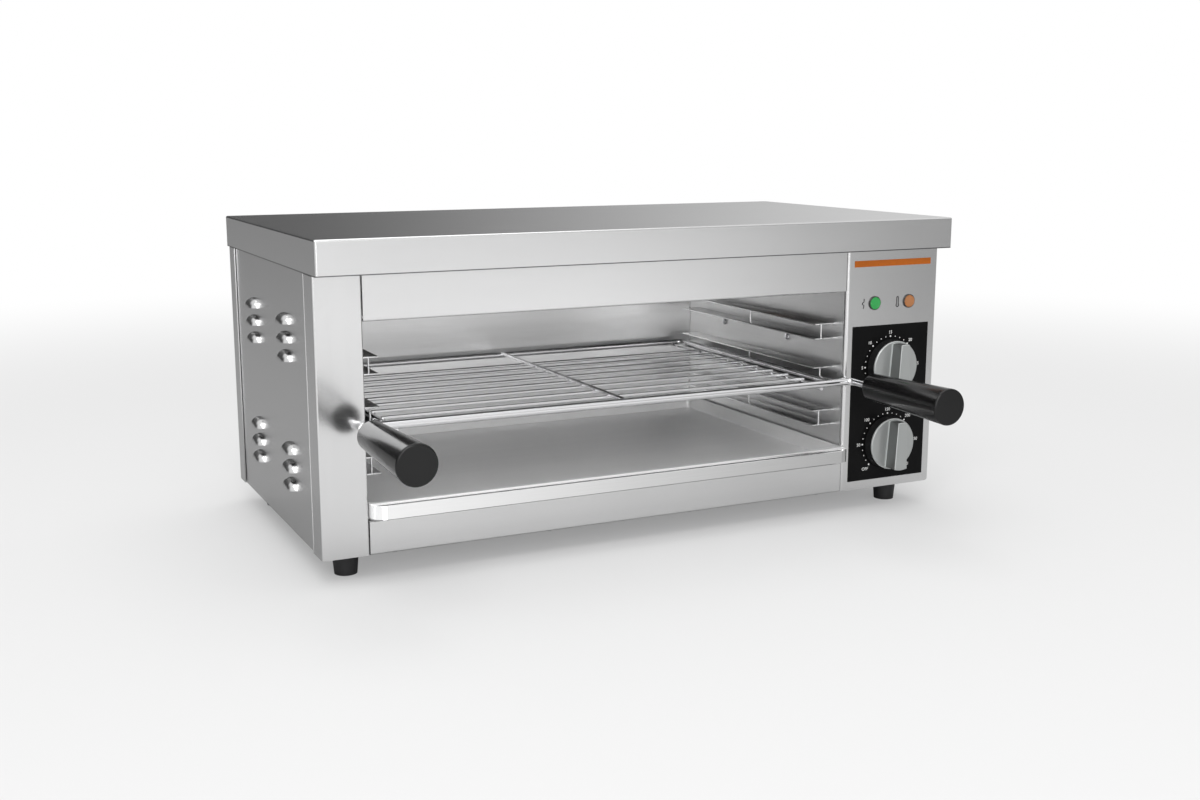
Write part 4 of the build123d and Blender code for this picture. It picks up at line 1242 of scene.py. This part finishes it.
@dataclass
class FacetedLens(SubAssembly):
    """Lamp lens with a face cut in small pyramids, in a thin ring."""

    node: str
    finish: Finish
    radius: float = 5.8 * MM
    reach: float = LENS_REACH
    pitch: float = 1.35 * MM
    depth: float = FACET_DEPTH
    weld: float = 0.02 * MM
    seat_gap: float = 0.02 * MM
    rim: float = 0.35 * MM
    edge: float = 0.15 * MM
    ring_radius: float = 6.5 * MM
    ring_reach: float = 1.3 * MM
    ring_edge: float = 0.3 * MM
    ring_chamfer: float = 0.2 * MM
    ring_steps: int = 48

    def ring(self) -> Mesh:
        """Make the thin ring, looking up from the origin.

        Returns:
            The ring's mesh.
        """
        inner = self.radius - self.ring_edge
        outer = self.ring_radius
        section = ((inner, 0.0), (inner, self.ring_reach), (outer - self.ring_chamfer, self.ring_reach),
                   (outer, self.ring_reach - self.ring_edge), (outer, 0.0))
        work = bmesh.new()
        turns = [2 * math.pi * n / self.ring_steps for n in range(self.ring_steps)]
        rows = [[work.verts.new((r * math.cos(a), r * math.sin(a), up)) for r, up in section] for a in turns]
        for one, two in zip(rows, rows[1:] + rows[:1]):
            bridged(work, one, two, closed=True)
        return meshed(f"{self.node}_ring", work)

    def lens(self) -> Mesh:
        """Make the lens, looking up from the origin.

        Returns:
            The lens's mesh.
        """
        work = bmesh.new()
        inner = self.radius - self.rim
        count = math.ceil(self.radius / self.pitch) + 1
        slant = math.sqrt(0.5) * self.pitch
        corners: dict[tuple[float, float], BMVert] = {}

        def spot(i: float, j: float, height: float) -> BMVert:
            """Give the facets' point at a place of the slanted pattern, held inside the rim.

            Args:
                i: Steps along the first slant.
                j: Steps along the other.
                height: Height of the point.

            Returns:
                The point.
            """
            if (i, j) not in corners:
                x, y = (i - j) * slant, (i + j) * slant
                share = min(1.0, inner / max(math.hypot(x, y), self.rim))
                corners[i, j] = work.verts.new((x * share, y * share, height))
            return corners[i, j]

        for i in range(-count, count):
            for j in range(-count, count):
                if math.hypot(i - j, i + j + 1) * slant > inner:
                    continue
                base = [spot(i + a, j + b, self.reach - self.depth)
                        for a, b in ((0, 0), (1, 0), (1, 1), (0, 1))]
                peak = spot(i + 0.5, j + 0.5, self.reach)
                for one, two in zip(base, base[1:] + base[:1]):
                    work.faces.new((one, two, peak))
        bmesh.ops.remove_doubles(work, verts=work.verts, dist=self.weld)
        skirted(work, ((self.radius - self.edge, self.reach - 2 * self.edge),
                       (self.radius, self.reach - 4 * self.edge), (self.radius, self.seat_gap)))
        return meshed(f"{self.node}_faceted", work)

    def build(self) -> None:
        """Make the lens in place of the plain one, and its ring."""
        low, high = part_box(self.node)
        seat = Vector(((low.x + high.x) / 2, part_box("control_panel")[0].y, (low.z + high.z) / 2))
        lens, ring = self.lens(), self.ring()
        for mesh in (lens, ring):
            mesh.transform(facing_front(seat))
        self.workshop.replacement(f"{self.node}_faceted", lens, self.node, self.finish, smooth_angle=12)
        self.workshop.piece(f"{self.node}_ring", ring, "moulded_black", Finish.LAMP_RING)


@dataclass
class CrossHeadScrews(SubAssembly):
    """Pan head screws with a cross recess, in place of the plain ones of one node."""

    node: str
    head_radius: float = 3.0 * MM
    head_height: float = 1.8 * MM
    shank_share: float = 0.5
    shank_length: float = 5.5 * MM
    side_share: float = 0.45
    crown_share: float = 0.93
    crown_fall: float = 0.30
    recess: float = 1.0 * MM
    recess_taper: float = 0.72
    rear_turn: float = 0.4
    base_turn: float = 0.3
    lines: tuple[float, ...] = (-1.0, -0.82, -0.58, -0.14, 0.14, 0.58, 0.82, 1.0)

    def part(self) -> Mesh:
        """Make one screw that faces up, its head's seat at the origin.

        Returns:
            The screw's mesh.
        """
        work = bmesh.new()
        crown = self.head_radius * self.crown_share
        grid = {}
        for i, u in enumerate(self.lines):
            for j, v in enumerate(self.lines):
                x = u * math.sqrt(1 - v * v / 2) * crown
                y = v * math.sqrt(1 - u * u / 2) * crown
                share = 1 - self.crown_fall * (x * x + y * y) / self.head_radius ** 2
                grid[i, j] = work.verts.new((x, y, self.head_height * share))
        arms = []
        last = len(self.lines) - 1
        middle = last // 2
        for i in range(last):
            for j in range(last):
                face = work.faces.new((grid[i, j], grid[i + 1, j], grid[i + 1, j + 1], grid[i, j + 1]))
                if (i == middle and abs(j - middle) <= 1) or (j == middle and abs(i - middle) <= 1):
                    arms.append(face)
        cut = bmesh.ops.extrude_face_region(work, geom=arms)["geom"]
        bmesh.ops.delete(work, geom=arms, context="FACES_ONLY")
        for vertex in only(BMVert, cut):
            vertex.co = (vertex.co.x * self.recess_taper, vertex.co.y * self.recess_taper,
                         self.head_height - self.recess)
        shank = self.head_radius * self.shank_share
        skirted(work, ((self.head_radius, self.side_share * self.head_height), (self.head_radius, 0.0),
                       (shank, 0.0), (shank, -self.shank_length)))
        return meshed(f"{self.node}_screw", work)

    def stances(self) -> list[Stance]:
        """Find each screw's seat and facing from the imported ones.

        Returns:
            One stance for each screw.
        """
        found = []
        for low, high in islands(self.node):
            seat = (low + high) / 2
            size = high - low
            if size.y > max(size.x, size.z):
                seat.y = high.y - self.head_height
                turn = (-math.pi / 2, 0.0, self.rear_turn)
            elif size.z > max(size.x, size.y):
                seat.z = low.z + self.head_height
                turn = (math.pi, 0.0, self.base_turn)
            elif seat.x < 0:
                seat.x = high.x - self.head_height
                turn = (0.0, math.pi / 2, 0.0)
            else:
                seat.x = low.x + self.head_height
                turn = (0.0, -math.pi / 2, 0.0)
            found.append(Stance(seat, turn))
        return found

    def build(self) -> None:
        """Make all screws of the node."""
        name = f"{self.node}_cross_head"
        mesh = self.workshop.scatter(name, self.part(), self.stances(), Finish.SCREW)
        self.workshop.replacement(name, mesh, self.node)


@dataclass
class GridWelds(SubAssembly):
    """Small weld nuggets where the grid's wires cross."""

    length: float = 2.6 * MM
    width: float = 1.7 * MM
    height: float = 1.2 * MM

    def part(self) -> Mesh:
        """Make one nugget, a small flattened ball.

        Returns:
            Its mesh.
        """
        work = bmesh.new()
        bmesh.ops.create_uvsphere(work, u_segments=10, v_segments=6, radius=0.5)
        bmesh.ops.scale(work, vec=(self.length, self.width, self.height), verts=work.verts)
        return meshed("weld_nugget", work)

    def build(self) -> None:
        """Set a nugget at every crossing."""
        stances = []
        runs = islands("grid_side_wires") + islands("grid_centre_wire")
        for cross_low, cross_high in islands("grid_cross_wires"):
            y = (cross_low.y + cross_high.y) / 2
            for low, high in runs:
                below = high.z < cross_high.z
                z = (high.z + cross_low.z) / 2 if below else (low.z + cross_high.z) / 2
                stances.append(Stance(Vector(((low.x + high.x) / 2, y, z)), (0.0, 0.0, math.pi / 4)))
        mesh = self.workshop.scatter("grid_welds", self.part(), stances, Finish.CHROME)
        self.workshop.piece("grid_welds", mesh, "grid_wire", body=Body.GRID)


@dataclass
class Studio:
    """Pale floor, soft lights, reflections and the camera.

    Each grade gives a range of places or directions and the tones at its two ends.
    """

    azimuth: float = math.radians(-26.06)
    elevation: float = math.radians(11.05)
    camera_place: tuple[float, float, float] = (-0.57325, -1.1466, 0.3623)
    lens: float = 42.08
    sensor: float = 36.0
    target: tuple[float, float, float] = (0.0, 0.05, 0.12)
    lamps: tuple[tuple[str, tuple[float, float, float], float, float], ...] = (
        ("key_softbox", (-0.9, -1.3, 1.9), 1.3, 14.0),
        ("top_softbox", (0.2, 0.3, 2.2), 1.6, 10.0),
        ("front_softbox", (-0.5, -2.4, 0.8), 1.6, 16.0),
    )
    floor_half: float = 12.0
    floor_tone: Colour = (0.72, 0.72, 0.72)
    floor_far_left: Grade = (-0.1, 0.45, 0.70, 1.0)
    floor_far_right: Grade = (0.45, 1.0, 1.0, 0.42)
    floor_close: Grade = (-0.2, 0.5, 0.74, 0.54)
    floor_nearness: Grade = (0.4, 1.0, 1.0, 0.0)
    floor_behind: Grade = (-0.2, 0.9, 0.36, 0.8)
    floor_turn: Grade = (-0.24, 0.02, 0.0, 1.0)
    floor_glow: Grade = (0.75, 2.1, 0.27, 1.0)
    wall_behind: Grade = (0.2, 0.70, 0.06, 0.74)
    wall_in_front: Grade = (0.22, 0.68, 0.95, 0.34)
    wall_turn: Grade = (-0.25, 0.25, 0.0, 1.0)
    wall_top: Grade = (0.25, 0.75, 0.0, 1.0)
    ceiling_tone: float = 0.95
    plain_level: float = 0.78

    def floor(self) -> None:
        """Lay the floor, which fades to white far away and looks graded in the metal."""
        half = self.floor_half
        mesh = bpy.data.meshes.new("floor")
        mesh.from_pydata([(-half, -half, 0), (half, -half, 0), (half, half, 0), (-half, half, 0)], [],
                         [(0, 1, 2, 3)])
        material = Material("floor_pale")
        mesh.materials.append(material.made)
        linked("floor", mesh)
        place = material.node("ShaderNodeTexCoord").outputs["Object"]
        x, y, _ = material.node("ShaderNodeSeparateXYZ", {0: place}).outputs
        path = material.node("ShaderNodeLightPath").outputs
        ahead = material.maths("MAXIMUM", material.times(y, -1.0), 0.2)
        slant = material.maths("DIVIDE", x, ahead)
        distant = material.times(material.spread(slant, *self.floor_far_left),
                                 material.spread(slant, *self.floor_far_right))
        close = material.spread(x, *self.floor_close)
        in_front = material.between(material.spread(ahead, *self.floor_nearness), distant, close)
        behind = material.spread(x, *self.floor_behind)
        shade = material.between(material.spread(y, *self.floor_turn), in_front, behind)
        graded = material.node("ShaderNodeCombineColor", {0: shade, 1: shade, 2: shade})
        colour = material.blend(path["Is Glossy Ray"], rgba(self.floor_tone), graded.outputs[0])
        material.dress(Base_Color=colour, Roughness=0.9, Specular_IOR_Level=0.0)
        reach = material.node("ShaderNodeVectorMath", {0: place}, operation="LENGTH").outputs["Value"]
        seen = material.times(material.spread(reach, *self.floor_glow), path["Is Camera Ray"])
        glow = material.node("ShaderNodeEmission")
        mixed = material.node("ShaderNodeMixShader", {
            0: seen, 1: material.shader.outputs[0], 2: glow.outputs[0]})
        material.feed(material.out.inputs["Surface"], mixed.outputs[0])

    def world(self) -> None:
        """Light the world plainly, white to the camera and graded to the metal."""
        world = bpy.data.worlds.new("studio")
        bpy.context.scene.world = world
        world.use_nodes = True
        graph = Graph(world.node_tree)
        graph.tree.nodes.clear()
        way = graph.node("ShaderNodeTexCoord").outputs["Generated"]
        right, back, up = graph.node("ShaderNodeSeparateXYZ", {0: way}).outputs
        level = graph.between(graph.spread(back, *self.wall_turn), graph.spread(right, *self.wall_in_front),
                              graph.spread(right, *self.wall_behind))
        glossy = graph.between(graph.spread(up, *self.wall_top), level, self.ceiling_tone)
        path = graph.node("ShaderNodeLightPath").outputs
        strength = graph.between(path["Is Glossy Ray"], self.plain_level, glossy)
        white = graph.maths("MAXIMUM", path["Is Camera Ray"], path["Is Transmission Ray"])
        background = graph.node("ShaderNodeBackground", {
            "Color": rgba((1.0, 1.0, 1.0)), "Strength": graph.between(white, strength, 1.0)})
        graph.node("ShaderNodeOutputWorld", {"Surface": background.outputs[0]})

    def light(self) -> None:
        """Hang the softboxes."""
        for name, place, size, power in self.lamps:
            lamp = bpy.data.lights.new(name, "AREA")
            lamp.shape = "DISK"
            lamp.size = size
            lamp.energy = power
            made = linked(name, lamp)
            made.location = place
            made.rotation_mode = "QUATERNION"
            made.rotation_quaternion = (Vector(self.target) - Vector(place)).to_track_quat("-Z", "Y")

    def camera(self) -> None:
        """Stand the camera where the photograph was taken from."""
        lens = bpy.data.cameras.new("camera")
        lens.lens = self.lens
        lens.sensor_width = self.sensor
        made = linked("camera", lens)
        bpy.context.scene.camera = made
        a, e = self.azimuth, self.elevation
        ahead = Vector((-math.sin(a) * math.cos(e), math.cos(a) * math.cos(e), -math.sin(e)))
        made.location = self.camera_place
        made.rotation_mode = "QUATERNION"
        made.rotation_quaternion = ahead.to_track_quat("-Z", "Y")

    def build(self) -> None:
        """Set up the whole studio."""
        bpy.context.scene.view_settings.view_transform = "Standard"
        self.camera()
        self.floor()
        self.world()
        self.light()


def main() -> None:
    """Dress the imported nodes, add the detailed pieces and light them."""
    logging.basicConfig(level=logging.INFO, format="%(name)s: %(message)s")
    Studio().build()
    workshop = Workshop()
    for node in frame["nodes"]:
        workshop.dress(node)
    dials = (("timer", ("OFF", "5", "10", "15", "20", "25", "30")),
             ("thermostat", ("OFF", "50", "100", "150", "200", "250", "300")))
    for knob, labels in dials:
        DialPrint(workshop, f"{knob}_dial_print", f"{knob}_shaft", labels).build()
    Pictograms(workshop).build()
    FacetedLens(workshop, "lamp_lens_green", Finish.LENS_GREEN).build()
    FacetedLens(workshop, "lamp_lens_amber", Finish.LENS_AMBER).build()
    for node in ("liner_screws", "rear_screws", "base_screws"):
        CrossHeadScrews(workshop, node).build()
    for node in ("left_side_panel", "right_side_panel"):
        LouvredPanel(workshop, node).build()
    for side in ("left", "right"):
        for level in ("top", "middle", "bottom"):
            StripRunner(workshop, f"runner_{side}_{level}").build()
    SeamBeads(workshop).build()
    GridWelds(workshop).build()


if __name__ == "__main__":
    main()
